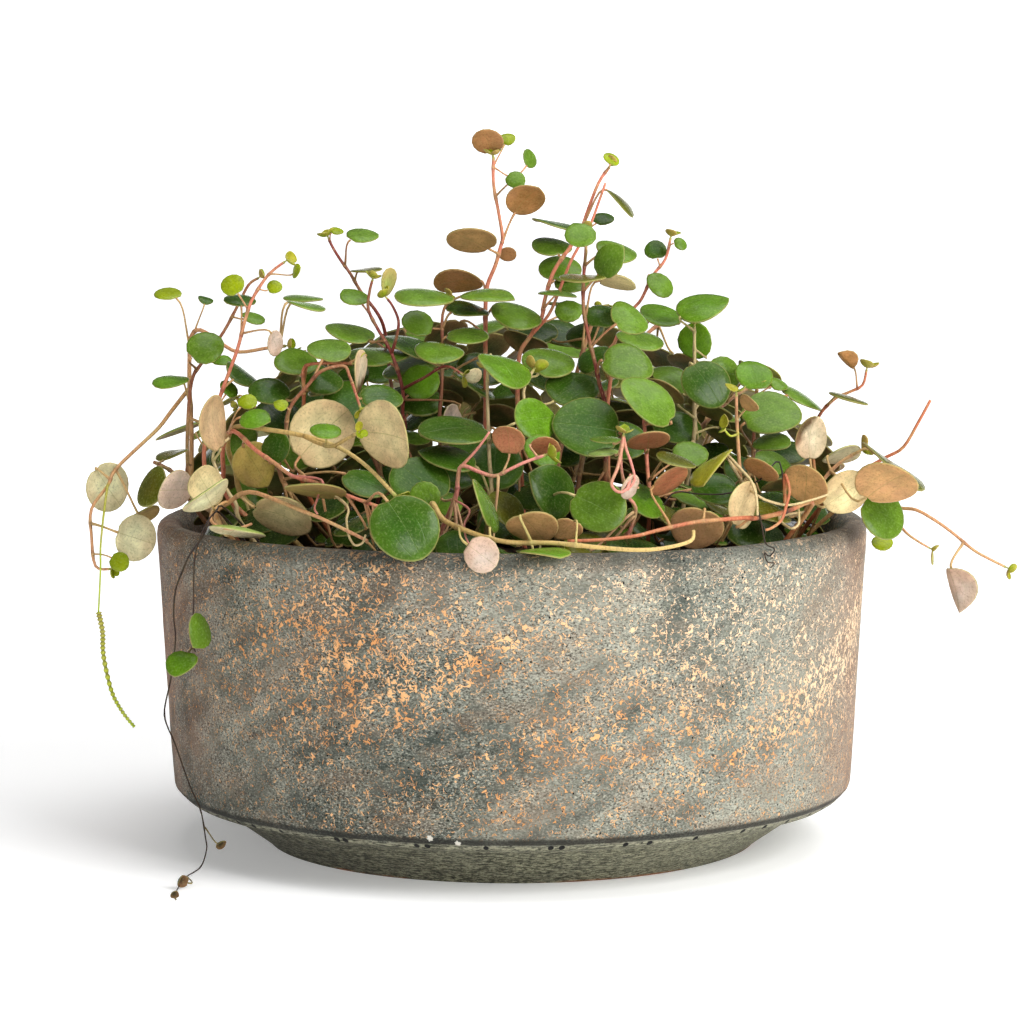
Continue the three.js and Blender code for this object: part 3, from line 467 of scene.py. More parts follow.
outlines = {"round": round_outline, "egg": egg_outline, "spoon": spoon_outline}
blades = {name: flat_blade("blade_" + name, BLADE_SIDES, BLADE_RINGS, shape)
          for name, shape in outlines.items()}
small_blades = {name: flat_blade("small_blade_" + name, SMALL_SIDES, SMALL_RINGS, shape)
                for name, shape in outlines.items()}

# The leaf's skin: curved veins and a thin rim follow the blade's own chart, and blotches, a copper
# blush below, fine flecks and dark pepper dots lie all over.
EDGE_BELOW = paint(176, 128, 84)
EDGE_ABOVE = paint(112, 138, 30)
BLOTCH_GREEN = (0.02, 0.035, 0.008, 1)
COPPER_BLUSH = paint(190, 136, 104)
PALE_FLECK = paint(214, 222, 150)
DARK_FLECK = paint(40, 42, 14)
VEIN_BELOW = paint(124, 126, 62)
VEIN_ABOVE = paint(150, 170, 84)
RIM_BROWN = paint(150, 118, 70)
RIM_PALE = paint(190, 196, 120)
PEPPER_DOT = paint(46, 44, 24)
leaf_skin, tree, skin, place = new_material("fleshy_leaf", 0.42, 0.15)
chart = node(tree, "ShaderNodeUVMap", uv_map="UVMap").outputs[0]
chart_x, chart_y, _ = node(tree, "ShaderNodeSeparateXYZ", {0: chart}).outputs
tint = node(tree, "ShaderNodeAttribute", attribute_name="tint").outputs["Color"]
upper = node(tree, "ShaderNodeAttribute", attribute_name="upper").outputs["Fac"]


def by_side(below, above):
    """A number that differs between a blade's under and upper face."""
    return eased(tree, upper, 0, 1, below, above)


beside = maths(tree, "ABSOLUTE", maths(tree, "SUBTRACT", chart_x, 0.5))
along = maths(tree, "SUBTRACT", chart_y, 0.5)
half = maths(tree, "MAXIMUM", maths(tree, "SUBTRACT", 0.262, times(tree, along, along)), 0.004)
half = maths(tree, "SQRT", half)
bowed = maths(tree, "DIVIDE", beside, half)
vein = times(tree, maths(tree, "PINGPONG", bowed, 0.2), half)
vein = times(tree, eased(tree, vein, 0.002, 0.012, 1, 0), eased(tree, bowed, 0.05, 0.6, 1, 0.2))
out = hypotenuse(tree, beside, along)
rim = eased(tree, out, 0.472, 0.49)
blotch = noise(tree, place, 210, 3, 0.6)
fine = noise(tree, place, 1500, 2, 0.6)
blush = eased(tree, noise(tree, place, 70, 2, 0.5), 0.48, 0.62)
pepper = node(tree, "ShaderNodeTexVoronoi", {"Vector": place, "Scale": 1300.0}).outputs["Distance"]
edgeward = times(tree, eased(tree, out, 0.1, 0.5), by_side(0.35, 0.16))
skin_tint = layered(
    tree, tint,
    (edgeward, mixed(tree, upper, EDGE_BELOW, EDGE_ABOVE)),
    (eased(tree, blotch, 0.3, 0.72, 0.34, 0), BLOTCH_GREEN),
    (times(tree, blush, by_side(0.26, 0)), COPPER_BLUSH),
    (eased(tree, fine, 0.5, 0.75, 0, 0.09), PALE_FLECK),
    (eased(tree, fine, 0.34, 0.46, 0.25, 0), DARK_FLECK),
    (times(tree, vein, by_side(0.4, 0.08)), mixed(tree, upper, VEIN_BELOW, VEIN_ABOVE)),
    (times(tree, rim, 0.38), mixed(tree, blotch, RIM_BROWN, RIM_PALE)),
    (times(tree, eased(tree, pepper, 0.1, 0.22, 1, 0), by_side(0.2, 0.1)), PEPPER_DOT),
)
relief = maths(tree, "SUBTRACT", times(tree, blotch, 0.7), times(tree, vein, 0.35))
relief = plus(tree, relief, times(tree, fine, 0.12))
colour_and_relief(tree, skin, skin_tint, relief, 0.0003, 0.5)
tree.links.new(maths(tree, "MULTIPLY_ADD", blotch, 0.24, by_side(0.5, 0.12)), skin.inputs["Roughness"])

# The stem's skin: blushed and streaked along, and only streaked where it is dead and black.
YOUNG_BARK = paint(176, 164, 104)
DARK_FIBRE = paint(84, 44, 32)
PALE_FIBRE = paint(236, 206, 160)
bark, tree, skin, place = new_material("stem_skin", 0.45, 0.25)
tint = node(tree, "ShaderNodeAttribute", attribute_name="tint").outputs["Color"]
blush = noise(tree, place, 75, 3, 0.6)
fibre = noise(tree, scaled(tree, place, 3, 3, 1), 520, 3, 0.6)
red = node(tree, "ShaderNodeSeparateColor", {0: tint}).outputs[0]
living = eased(tree, red, 0.05, 0.15, 0.15, 1)
skin_tint = layered(
    tree, tint,
    (times(tree, eased(tree, blush, 0.46, 0.66, 0, 0.4), living), YOUNG_BARK),
    (eased(tree, fibre, 0.35, 0.5, 0.3, 0), DARK_FIBRE),
    (times(tree, eased(tree, fibre, 0.58, 0.72, 0, 0.3), living), PALE_FIBRE),
)
colour_and_relief(tree, skin, skin_tint, fibre, 0.0002, 0.5)


# The leaves' places: the same rules as in the part's source, which was traced in one front view.
# Where a leaf or stem had several places to try, the one that the frame's node holds is taken.
PITCH = math.radians(5.75)
CAMERA_BACK = 1120
CAMERA_HEIGHT = 219
FOCAL = 3459
MIDDLE_COLUMN = 512.5
MIDDLE_ROW = 512
RIGHT = Vector((1, 0, 0))
UP = Vector((0, 0, 1))
UPWARD = Vector((0, math.sin(PITCH), math.cos(PITCH)))
NEAR = Vector((0, -math.cos(PITCH), math.sin(PITCH)))
NUDGES = [0, 2, -2, 4, -4, 6, -6, 8, -8, 10, -10, 12, -12, 15, -15, 18, -18, 22, -22]
LEAF_REACH = 0.1
ROUTE_REACH = 1
TIP_WIDTH = 0.86
STALK_PLACE = 0.45
SOIL_MIDDLE = 95
SOIL_DROP = 4
SOIL_RADIUS = 106.5


def seen(column, row, depth):
    """The place that shows at a picture column and row and lies a given depth behind the middle."""
    right = (column - MIDDLE_COLUMN) / FOCAL
    up = (MIDDLE_ROW - row) / FOCAL
    reach = (depth + CAMERA_BACK) / (math.cos(PITCH) + up * math.sin(PITCH))
    climb = up * math.cos(PITCH) - math.sin(PITCH)
    return Vector((reach * right, depth, CAMERA_HEIGHT + reach * climb))


def draw(*keys):
    """A number from 0 to 1 that is the same for the same whole-number keys. One key says what is drawn."""
    mixed_bits = 20011
    for key in keys:
        mixed_bits = ((mixed_bits ^ (key + 40503)) * 0x85EBCA6B) & 0xFFFFFFFF
        mixed_bits ^= mixed_bits >> 13
        mixed_bits = (mixed_bits * 0xC2B2AE35) & 0xFFFFFFFF
        mixed_bits ^= mixed_bits >> 16
    return mixed_bits / 4294967296


def soil_top(distance):
    return SOIL_MIDDLE - SOIL_DROP * (distance / SOIL_RADIUS) ** 2


class Leaf:
    """A leaf's place: where its stalk starts, its blade's middle, and the ways of its face, tip and side."""

    def __init__(self, start, middle, normal, length, young=False):
        self.start = self.joint = start
        self.middle = middle
        self.normal = normal.normalized()
        self.length = length
        self.young = young
        outward = middle - start
        self.tipward = (outward - self.normal * outward.dot(self.normal)).normalized()
        self.side = self.tipward.cross(self.normal)

    def tip_corners(self):
        """The corners of its tip in the frame, where a blade is a flat, thick disc."""
        half = self.length / 2
        rise = 0.05 * self.length * (0.5 - TIP_WIDTH ** 2)
        tip = self.middle + self.tipward * (TIP_WIDTH * half) + self.normal * rise
        return [tip + self.side * (0.5 * half * s) + self.normal * (0.4 * n)
                for s in (-1, 1) for n in (-1, 1)]


def corners_of(name):
    """The corners of a frame node, in millimetres, ready to be searched."""
    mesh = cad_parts[name].data
    corners = KDTree(len(mesh.vertices))
    for vertex in mesh.vertices:
        corners.insert(vertex.co / MM, vertex.index)
    corners.balance()
    return corners


def first_held(corners, tries, points_of, reach):
    """The first of several places whose points all lie at corners of the frame's node."""
    for one in tries:
        if all(corners.find(point)[2] < reach for point in points_of(one)):
            return one
    return None


def on_route(route, point):
    """Where a stalk leaves its stem, a little below a route's point."""
    return route[point].lerp(route[max(point - 1, 0)], STALK_PLACE)


def traced_leaf(start, entry, nudge):
    """The leaf of one entry of a traced stem, moved in depth by a nudge."""
    _, column, row, offset, extent, width, slope = entry
    depth = start.y + offset + nudge
    facing = width / extent
    turn = math.radians(slope + 90)
    lean = math.sqrt(1 - facing * facing)
    normal = NEAR * facing + RIGHT * (lean * math.cos(turn)) + UPWARD * (lean * math.sin(turn))
    return Leaf(start, seen(column, row, depth), normal, extent * (depth + CAMERA_BACK) / FOCAL)


# The traced stems: the climbing, trailing and dead shoots that show from the front, each rooted in the
# soil inside the rim, with its leaves where they show. Twigs are thin shoots that only the picture
# shows: the frame has no room for them.

# A stem's root is on the soil (x, y), and "thick" is its width at the root. A shoot's route has points
# (picture column, picture row, depth), and "from" is the (shoot, point) that it branches off. A leaf is
# (route point, column, row, depth from that point, longer extent, shorter extent, slope). A negative
# extent shows its underside, and "looks" has one letter for each leaf. "knots" are the route's points
# with a bare knot, "spike" is a flower spike, and "young" is a twig that ends in young leaves.
STEMS = [
    {"node": "stem_left_arching", "root": (-84, -28), "thick": 1.8, "bark": "coral", "shoots": [
        {"route": [(207, 500, -32), (205, 470, -31), (205, 447, -30), (211, 425, -30), (219, 401, -30),
            (227, 379, -31), (238, 349, -32), (245, 322, -33), (252, 301, -34), (264, 281, -35),
            (274, 270, -36), (285, 262, -37)],
         "looks": "llkldbd", "leaves": [(10, 297, 271, -2, 16, 8, 75), (9, 275, 287, 3, 16, 14, 0),
            (7, 276, 343, -5, 29, -14, 80), (8, 233, 285, 4, 25, 22, 15), (7, 240, 300, 9, 36, 13, -5),
            (4, 229, 389, 4, 22, 13, -45), (5, 241, 376, 10, 43, 14, -38)]},
    ]},
    {"node": "stem_left_brown", "root": (-90, -17), "thick": 1.7, "bark": "brown", "shoots": [
        {"route": [(190, 500, -20), (188, 465, -19), (188, 430, -18), (192, 382, -18), (203, 362, -18),
            (224, 332, -18), (238, 306, -18), (249, 285, -18), (259, 278, -18)],
         "looks": "gg", "leaves": [(4, 206, 347, -7, 39, 33, -10), (6, 254, 318, 6, 24, 12, -20)]},
    ]},
    {"node": "stem_left_trailing", "root": (-94, -5), "thick": 2.1, "bark": "tan", "shoots": [
        {"route": [(193, 500, -8), (192, 465, -8), (192, 429, -8), (190, 388, -8), (190, 357, -8),
            (191, 338, -8), (201, 330, -9), (224, 345, -10), (240, 352, -11), (268, 348, -12),
            (286, 346, -13)],
         "looks": "ldggbb", "leaves": [(5, 168, 294, 0, 28, 14, 0), (6, 206, 300, 3, 18, 8, -20),
            (10, 305, 298, 6, 43, 8, -3), (10, 307, 306, -4, 41, 7, -12), (3, 171, 382, -4, 38, 14, 3),
            (7, 223, 361, 5, 20, 12, 0)]},
        {"from": (0, 3), "route": [(172, 411, -13), (159, 428, -18), (140, 446, -24), (122, 463, -30),
            (113, 474, -33), (108, 486, -36), (92, 509, -40), (92, 536, -42), (96, 566, -44),
            (111, 569, -47)],
         "looks": "wwlo", "leaves": [(5, 108, 487, 5, 50, -40, 80), (7, 136, 538, -2, 48, -38, 75),
            (8, 120, 562, -7, 21, 20, 0), (4, 142, 516, 8, 42, -9, 25)]},
        {"from": (1, 5), "thick": 1.0, "bark": "lime", "route": [(106, 500, -42), (103, 525, -46),
            (101, 548, -49), (101, 570, -50), (99, 612, -50)]},
        {"from": (2, 4), "thick": 1.9, "bark": "lime", "spike": True, "route": [(103, 632, -50),
            (104, 656, -50), (112, 691, -50), (123, 712, -50), (135, 727, -50)]},
    ]},
    {"node": "stem_left_low", "root": (-84, -42), "thick": 2.2, "bark": "umber", "shoots": [
        {"route": [(222, 520, -50), (205, 507, -50), (190, 495, -49), (176, 475, -47), (165, 467, -45),
            (154, 462, -44)],
         "looks": "ookpw", "leaves": [(5, 172, 455, 2, 38, 9, 13), (4, 153, 487, -6, 45, 30, 60),
            (3, 177, 490, -10, 48, -28, 68), (2, 207, 486, -12, 44, -35, 80),
            (1, 207, 496, -18, 62, -12, 36)]},
    ]},
    {"node": "stem_left_beige", "root": (-76, -50), "thick": 1.8, "bark": "beige", "shoots": [
        {"route": [(240, 520, -56), (237, 505, -57), (230, 494, -57), (218, 472, -55), (214, 453, -53),
            (230, 438, -52)],
         "looks": "t", "leaves": [(4, 215, 423, -2, 58, -22, 88)]},
    ]},
    {"node": "stem_front_coral", "root": (-70, -34), "thick": 2, "bark": "coral", "shoots": [
        {"route": [(230, 500, -36), (224, 470, -38), (224, 445, -42), (234, 431, -46), (256, 450, -56),
            (275, 463, -62), (293, 476, -68), (319, 483, -75), (347, 495, -82), (380, 507, -88)],
         "looks": "blydopd", "leaves": [(3, 256, 419, 5, 33, 22, 10), (3, 248, 402, 9, 20, 16, 0),
            (4, 256, 466, 7, 50, -44, 75), (5, 277, 447, 8, 36, 31, 60), (8, 316, 492, -5, 64, -13, -4),
            (7, 323, 434, 18, 72, -65, 80), (9, 405, 528, -28, 72, 67, -20)]},
    ], "twigs": [
        {"from": (0, 7), "thick": 1, "bark": "beige", "route": [(347, 505, -86), (347, 520, -92),
            (349, 535, -98), (355, 545, -103), (363, 543, -104), (366, 535, -102)]},
        {"from": (0, 6), "thick": 1, "bark": "pink", "route": [(322, 480, -76), (319, 495, -80),
            (315, 508, -84), (318, 514, -86)]},
    ]},
    {"node": "stem_front_tan", "root": (-80, -55), "thick": 2, "bark": "tan", "shoots": [
        {"route": [(217, 519, -60), (229, 503, -64), (250, 492, -70), (281, 502, -80), (300, 510, -86),
            (316, 516, -90), (340, 527, -96), (368, 541, -101)],
         "looks": "pw", "leaves": [(2, 283, 517, -8, 62, -38, -18), (0, 238, 531, -8, 58, -8, -8)]},
    ], "twigs": [
        {"from": (0, 1), "thick": 1.4, "route": [(224, 503, -66), (213, 512, -72), (212, 521, -76),
            (220, 527, -78), (236, 529, -78), (252, 524, -74)]},
    ]},
    {"node": "stem_front_thick", "root": (-66, -26), "thick": 2.4, "bark": "straw", "shoots": [
        {"route": [(246, 500, -28), (236, 470, -30), (228, 446, -36), (236, 427, -44), (270, 430, -54),
            (305, 436, -62), (340, 448, -71), (368, 467, -80), (396, 496, -88)]},
        {"from": (0, 5), "route": [(319, 443, -69), (333, 446, -76), (347, 439, -82), (358, 433, -86)],
         "looks": "pb", "leaves": [(3, 386, 435, -3, 74, -48, -68), (1, 326, 431, -8, 33, 16, -5)]},
    ]},
    {"node": "stem_front_orange", "root": (-56, -20), "thick": 1.8, "bark": "rust", "shoots": [
        {"route": [(302, 480, -28), (300, 440, -32), (304, 406, -35), (304, 385, -37), (304, 370, -38),
            (312, 364, -39), (340, 363, -41), (354, 364, -42)],
         "looks": "egddd", "leaves": [(7, 361, 372, -3, 45, -9, 85), (4, 296, 362, 10, 48, 28, -8),
            (3, 270, 391, 6, 42, 28, -10), (5, 322, 380, 9, 46, 30, -15), (1, 352, 405, 4, 62, 46, -20)]},
    ]},
    {"node": "stem_front_brown", "root": (-54, -38), "thick": 1.7, "bark": "brown", "shoots": [
        {"route": [(283, 480, -52), (286, 440, -52), (290, 409, -51), (307, 387, -50), (322, 371, -50),
            (344, 366, -51), (350, 376, -53), (355, 390, -56), (361, 408, -60)],
         "looks": "lgddg", "leaves": [(2, 281, 405, -4, 16, 12, 0), (4, 330, 350, 8, 46, 24, -6),
            (7, 382, 398, 6, 44, 26, -12), (0, 366, 484, -14, 50, 26, -15), (1, 300, 455, -6, 44, 30, 20)]},
    ]},
    {"node": "runner_front_yellow", "root": (-24, -78), "thick": 2.2, "bark": "straw", "shoots": [
        {"route": [(432, 506, -92), (444, 520, -99), (473, 533, -105), (507, 542, -109), (553, 543, -111),
            (595, 547, -112), (636, 550, -112), (665, 548, -110), (691, 541, -107), (694, 531, -103)],
         "looks": "gkbgnn", "leaves": [(0, 425, 497, 8, 33, 32, 0), (2, 482, 555, -14, 38, -37, -60),
            (4, 547, 553, -6, 55, 7, -2), (3, 486, 505, 8, 60, 12, -66), (4, 533, 527, 4, 54, -30, 0),
            (5, 567, 529, 6, 34, -22, 0)]},
    ]},
    {"node": "runner_front_red", "root": (79, -55), "thick": 2, "bark": "rust", "shoots": [
        {"route": [(813, 504, -66), (786, 512, -74), (759, 518, -80), (745, 518, -84), (718, 520, -90),
            (691, 523, -94), (656, 531, -98), (636, 536, -101), (600, 540, -104), (568, 541, -105)],
         "looks": "npm", "leaves": [(5, 697, 527, -6, 55, -42, -10), (3, 743, 505, 4, 50, -30, 78),
            (6, 670, 481, 14, 45, -20, 35)]},
    ], "twigs": [
        {"from": (0, 2), "thick": 0.6, "bark": "dead", "route": [(757, 505, -82), (762, 524, -86),
            (766, 543, -88), (775, 549, -88), (770, 556, -87), (765, 553, -87), (768, 562, -87),
            (775, 563, -86), (771, 568, -86)]},
        {"from": (0, 1), "thick": 0.7, "bark": "dead", "route": [(780, 462, -60), (760, 480, -66),
            (730, 493, -70), (700, 494, -72), (676, 492, -74), (664, 505, -76)]},
        {"from": (0, 1), "thick": 1.3, "bark": "rust", "route": [(785, 475, -70), (790, 490, -74),
            (787, 505, -80), (782, 520, -86), (772, 528, -90), (766, 530, -91)]},
    ]},
    {"node": "stem_centre_left", "root": (-8, -50), "thick": 1.8, "bark": "beige", "shoots": [
        {"route": [(492, 500, -62), (490, 460, -58), (489, 430, -55), (488, 400, -52), (488, 371, -48)],
         "looks": "bbddddo", "leaves": [(4, 505, 369, -4, 60, 27, -27), (2, 536, 420, -6, 52, 38, -55),
            (2, 455, 431, -6, 72, 30, -5), (0, 495, 467, 4, 60, 48, 0), (0, 448, 458, -2, 58, 26, -12),
            (1, 475, 450, 6, 60, 30, -20), (0, 507, 509, -8, 45, 30, -40)]},
    ]},
    {"node": "stem_centre_pink", "root": (-26, -66), "thick": 1.8, "bark": "pink", "shoots": [
        {"route": [(455, 500, -78), (458, 482, -80), (462, 466, -82), (480, 472, -85), (495, 476, -87),
            (511, 469, -88), (526, 462, -88), (546, 455, -87)],
         "looks": "mmdg", "leaves": [(5, 509, 439, 4, 36, -27, -20), (7, 546, 447, 4, 32, -20, 0),
            (0, 420, 482, 2, 62, 50, -12), (1, 447, 503, 0, 40, 24, -10)]},
    ], "twigs": [
        {"from": (0, 2), "thick": 1.2, "route": [(477, 450, -84), (490, 432, -86)]},
        {"from": (0, 0), "thick": 0.9, "route": [(470, 510, -90), (465, 524, -98), (466, 536, -103),
            (469, 543, -106)]},
    ]},
    {"node": "stem_centre_right", "root": (16, -60), "thick": 1.8, "bark": "beige", "shoots": [
        {"route": [(545, 500, -72), (540, 462, -68), (531, 425, -62), (524, 392, -55), (534, 370, -48)],
         "looks": "gddbg", "leaves": [(4, 549, 362, 4, 56, 30, -8), (3, 574, 389, -6, 58, 38, -8),
            (0, 552, 490, -6, 60, 46, -70), (1, 543, 452, 2, 42, 34, -30), (0, 599, 507, -20, 57, 54, 0)]},
    ]},
    {"node": "stem_tall_middle", "root": (4, -8), "thick": 2, "bark": "coral", "shoots": [
        {"route": [(520, 440, -14), (518, 395, -12), (520, 355, -10), (531, 336, -9), (542, 318, -8),
            (545, 301, -7), (554, 272, -6), (570, 248, -5), (582, 230, -4), (587, 214, -3), (599, 183, -2),
            (610, 167, -1)],
         "looks": "ldodggggg", "leaves": [(11, 612, 159, -1, 18, 12, -30), (8, 554, 224, 3, 50, 7, -12),
            (9, 621, 202, -3, 38, 9, -45), (8, 604, 219, 4, 22, 14, 0), (7, 552, 246, 4, 42, 20, -5),
            (6, 561, 268, 5, 44, 28, -5), (5, 573, 284, 4, 36, 20, 0), (5, 558, 294, -5, 40, 7, -5),
            (4, 570, 311, 3, 30, 24, 0)]},
    ], "twigs": [
        {"from": (0, 3), "thick": 1.3, "route": [(549, 315, -10), (560, 290, -10), (571, 262, -9),
            (583, 240, -9), (592, 222, -8), (600, 200, -7), (606, 183, -6)]},
    ]},
    {"node": "stem_tall_maroon", "root": (28, -38), "thick": 1.9, "bark": "maroon", "shoots": [
        {"route": [(606, 470, -52), (606, 436, -50), (605, 403, -48), (600, 384, -46), (596, 365, -44),
            (588, 332, -40), (584, 307, -37), (584, 280, -34), (586, 255, -31), (587, 232, -28)],
         "looks": "dgggoggpdd", "leaves": [(1, 587, 428, -6, 70, 60, -15), (4, 628, 364, -4, 54, 38, -15),
            (5, 630, 318, 4, 44, 28, -38), (7, 610, 260, -3, 38, 32, 70), (7, 583, 279, -8, 47, 10, 0),
            (8, 580, 235, -4, 34, 27, 0), (8, 618, 252, 6, 45, 22, -20), (6, 618, 283, 6, 38, -12, -10),
            (5, 604, 316, 10, 38, 24, 0), (1, 624, 440, 8, 52, 38, -10)]},
    ]},
    {"node": "stem_tall_right", "root": (32, 2), "thick": 1.8, "bark": "coral", "shoots": [
        {"route": [(608, 420, 0), (611, 380, 0), (615, 343, 0), (624, 328, 0), (632, 311, 0), (642, 299, 0),
            (653, 276, 0), (666, 259, 0), (671, 238, 0)],
         "looks": "dgggb", "leaves": [(7, 656, 250, 2, 23, 20, 0), (8, 681, 244, -1, 15, 12, -40),
            (6, 660, 285, -3, 31, 25, -30), (3, 640, 341, -6, 50, 20, -12), (4, 662, 316, 4, 46, 24, -15)]},
    ]},
    {"node": "stem_tallest", "root": (-10, -2), "thick": 2, "bark": "coral", "shoots": [
        {"route": [(486, 420, -4), (486, 375, -3), (486, 335, -2), (486, 306, -1), (488, 285, 0),
            (496, 265, 0), (501, 247, 0), (503, 237, 0), (499, 212, 0), (494, 184, 0), (494, 157, 0)],
         "looks": "clggcnccg", "leaves": [(10, 488, 142, 0, 33, -22, 0), (10, 508, 139, 3, 17, 13, 0),
            (10, 516, 180, -3, 21, 18, 0), (9, 530, 159, 2, 22, 14, -70), (7, 527, 199, -2, 43, -27, 0),
            (6, 472, 241, -3, 51, -21, 0), (6, 508, 254, 2, 18, -14, 0), (4, 459, 281, 3, 50, -23, -5),
            (3, 516, 316, -6, 57, 28, -12)]},
    ]},
    {"node": "stem_middle_dark", "root": (-22, -16), "thick": 1.7, "bark": "brown", "shoots": [
        {"route": [(440, 430, -18), (442, 390, -17), (443, 350, -16), (443, 315, -14), (450, 300, -13)],
         "looks": "ggdggggd", "leaves": [(4, 424, 297, -2, 62, 20, -5), (4, 488, 296, -5, 54, 17, 0),
            (3, 468, 309, 4, 44, 16, -10), (3, 418, 324, 0, 34, 26, -20), (2, 468, 337, -4, 44, 18, 0),
            (2, 440, 352, -8, 52, 22, -5), (2, 415, 366, 6, 68, 24, 16), (2, 409, 346, 12, 55, 18, -20)]},
    ]},
    {"node": "stem_middle_red", "root": (-42, -14), "thick": 1.7, "bark": "maroon", "shoots": [
        {"route": [(404, 440, -20), (403, 412, -22), (403, 389, -24), (392, 353, -24), (380, 332, -24),
            (369, 310, -24), (370, 292, -24), (373, 280, -24)],
         "looks": "ggbkgd", "leaves": [(5, 354, 297, 4, 32, 18, -10), (4, 350, 334, 6, 50, 20, -12),
            (2, 421, 382, -4, 40, 37, 0), (2, 452, 421, -14, 36, -17, 80), (3, 380, 356, 8, 64, 20, 0),
            (1, 415, 400, 8, 60, 32, -5)]},
        {"from": (0, 3), "route": [(397, 337, -26), (399, 321, -27), (393, 306, -27), (387, 298, -27)],
         "looks": "b", "leaves": [(3, 389, 282, 0, 29, -15, 80)]},
        {"from": (0, 2), "route": [(424, 378, -30), (446, 366, -36), (463, 375, -40)],
         "looks": "w", "leaves": [(2, 474, 376, -1, 20, -14, 40)]},
    ]},
    {"node": "stem_high_left", "root": (-46, 8), "thick": 1.7, "bark": "maroon", "shoots": [
        {"route": [(392, 420, 8), (390, 370, 8), (386, 335, 7), (379, 315, 5), (361, 291, 4), (351, 274, 3),
            (341, 260, 3), (333, 247, 2), (329, 238, 2)],
         "looks": "lgo", "leaves": [(8, 337, 231, 0, 15, 8, -10), (6, 363, 236, 1, 34, 16, -5),
            (5, 366, 271, -2, 36, 6, 5)]},
    ]},
    {"node": "stem_right_high", "root": (54, -4), "thick": 1.8, "bark": "beige", "shoots": [
        {"route": [(694, 440, -10), (695, 410, -10), (695, 385, -10), (695, 360, -10), (695, 342, -9),
            (695, 326, -8)],
         "looks": "bbdgogd", "leaves": [(5, 704, 307, -2, 56, 30, 10), (4, 696, 341, 8, 40, 36, 80),
            (2, 707, 384, -12, 52, 48, -30), (3, 724, 374, 4, 38, 34, -60), (1, 664, 392, -8, 46, -16, -25),
            (2, 672, 379, 8, 44, 28, -20), (1, 678, 428, 6, 50, 34, -10)]},
    ]},
    {"node": "stem_right_leafy", "root": (72, -8), "thick": 1.8, "bark": "brown", "shoots": [
        {"route": [(752, 470, -16), (754, 440, -16), (756, 410, -15), (757, 388, -14)],
         "looks": "bgggg", "leaves": [(3, 754, 375, 2, 40, 30, -10), (3, 779, 384, -2, 22, 12, -20),
            (2, 802, 399, 2, 48, 12, -30), (1, 772, 414, -10, 60, 45, 0), (0, 772, 442, -12, 40, 18, 10)]},
    ]},
    {"node": "stem_right_front", "root": (42, -54), "thick": 1.8, "bark": "coral", "shoots": [
        {"route": [(650, 500, -66), (648, 470, -63), (646, 440, -60), (644, 415, -57)],
         "looks": "gmgbod", "leaves": [(3, 648, 402, -4, 64, 40, -38), (2, 649, 440, -14, 46, -16, 8),
            (1, 691, 454, 4, 38, 26, -10), (0, 645, 502, -12, 48, 28, -42), (1, 676, 460, -18, 46, 12, -17),
            (0, 715, 489, 0, 48, 36, -10)]},
    ]},
    {"node": "stem_curled_pink", "root": (30, -78), "thick": 1.5, "bark": "pink", "shoots": [
        {"route": [(636, 515, -88), (628, 495, -92), (622, 470, -94), (622, 450, -95), (624, 436, -95)],
         "looks": "wgk", "leaves": [(4, 604, 452, 4, 34, 7, 5), (4, 606, 440, 9, 34, 7, -3),
            (2, 630, 487, -5, 28, -16, 60)]},
    ], "twigs": [
        {"from": (0, 4), "thick": 1.4, "route": [(622, 450, -97), (618, 468, -98), (612, 484, -100),
            (619, 492, -101), (628, 488, -100), (631, 474, -98)]},
        {"from": (0, 4), "thick": 1.2, "route": [(627, 450, -97), (632, 464, -98), (635, 480, -99),
            (628, 490, -100)]},
    ]},
    {"node": "stem_right_tan", "root": (62, -52), "thick": 1.8, "bark": "tan", "shoots": [
        {"route": [(742, 500, -66), (741, 480, -65), (740, 466, -64), (738, 434, -63), (737, 410, -62),
            (737, 395, -62)],
         "looks": "nyc", "leaves": [(4, 749, 404, -2, 26, -11, -40), (2, 711, 468, -8, 58, 12, 41),
            (1, 762, 470, -4, 40, -16, -30)]},
    ], "twigs": [
        {"from": (0, 1), "thick": 1.3, "bark": "beige", "route": [(727, 455, -68), (742, 470, -74),
            (752, 482, -78), (757, 498, -82), (758, 515, -86)]},
        {"from": (0, 1), "thick": 1.1, "bark": "beige", "route": [(757, 495, -80), (772, 502, -78),
            (790, 505, -74), (812, 500, -70), (830, 494, -66)]},
        {"from": (0, 3), "thick": 1, "bark": "lime", "young": True, "route": [(731, 436, -68),
            (725, 430, -70)]},
    ]},
    {"node": "stem_right_low", "root": (86, -34), "thick": 2, "bark": "tan", "shoots": [
        {"route": [(806, 512, -50), (812, 496, -50), (822, 482, -48), (840, 463, -46), (861, 451, -44)],
         "looks": "oaepngw", "leaves": [(4, 893, 467, -2, 78, 12, -36), (1, 806, 484, -9, 50, -34, -35),
            (2, 811, 438, 3, 44, -34, 70), (1, 846, 493, -6, 52, -46, 30), (3, 887, 484, -9, 66, -38, -10),
            (2, 883, 515, -14, 54, 44, -60), (3, 842, 455, 7, 42, -15, 15)]},
    ], "twigs": [
        {"from": (0, 0), "thick": 1.2, "bark": "beige", "route": [(780, 517, -62), (790, 528, -72),
            (799, 524, -72), (799, 508, -66)]},
    ]},
    {"node": "stem_right_orange", "root": (88, -22), "thick": 1.9, "bark": "rust", "shoots": [
        {"route": [(826, 500, -33), (831, 489, -35), (850, 478, -37), (869, 467, -38), (887, 457, -39),
            (904, 447, -40), (919, 422, -40), (931, 400, -40)]},
    ]},
    {"node": "stem_right_trailing", "root": (91, -12), "thick": 1.7, "bark": "tan", "shoots": [
        {"route": [(850, 500, -20), (880, 503, -26), (901, 508, -30), (917, 510, -33), (935, 520, -35),
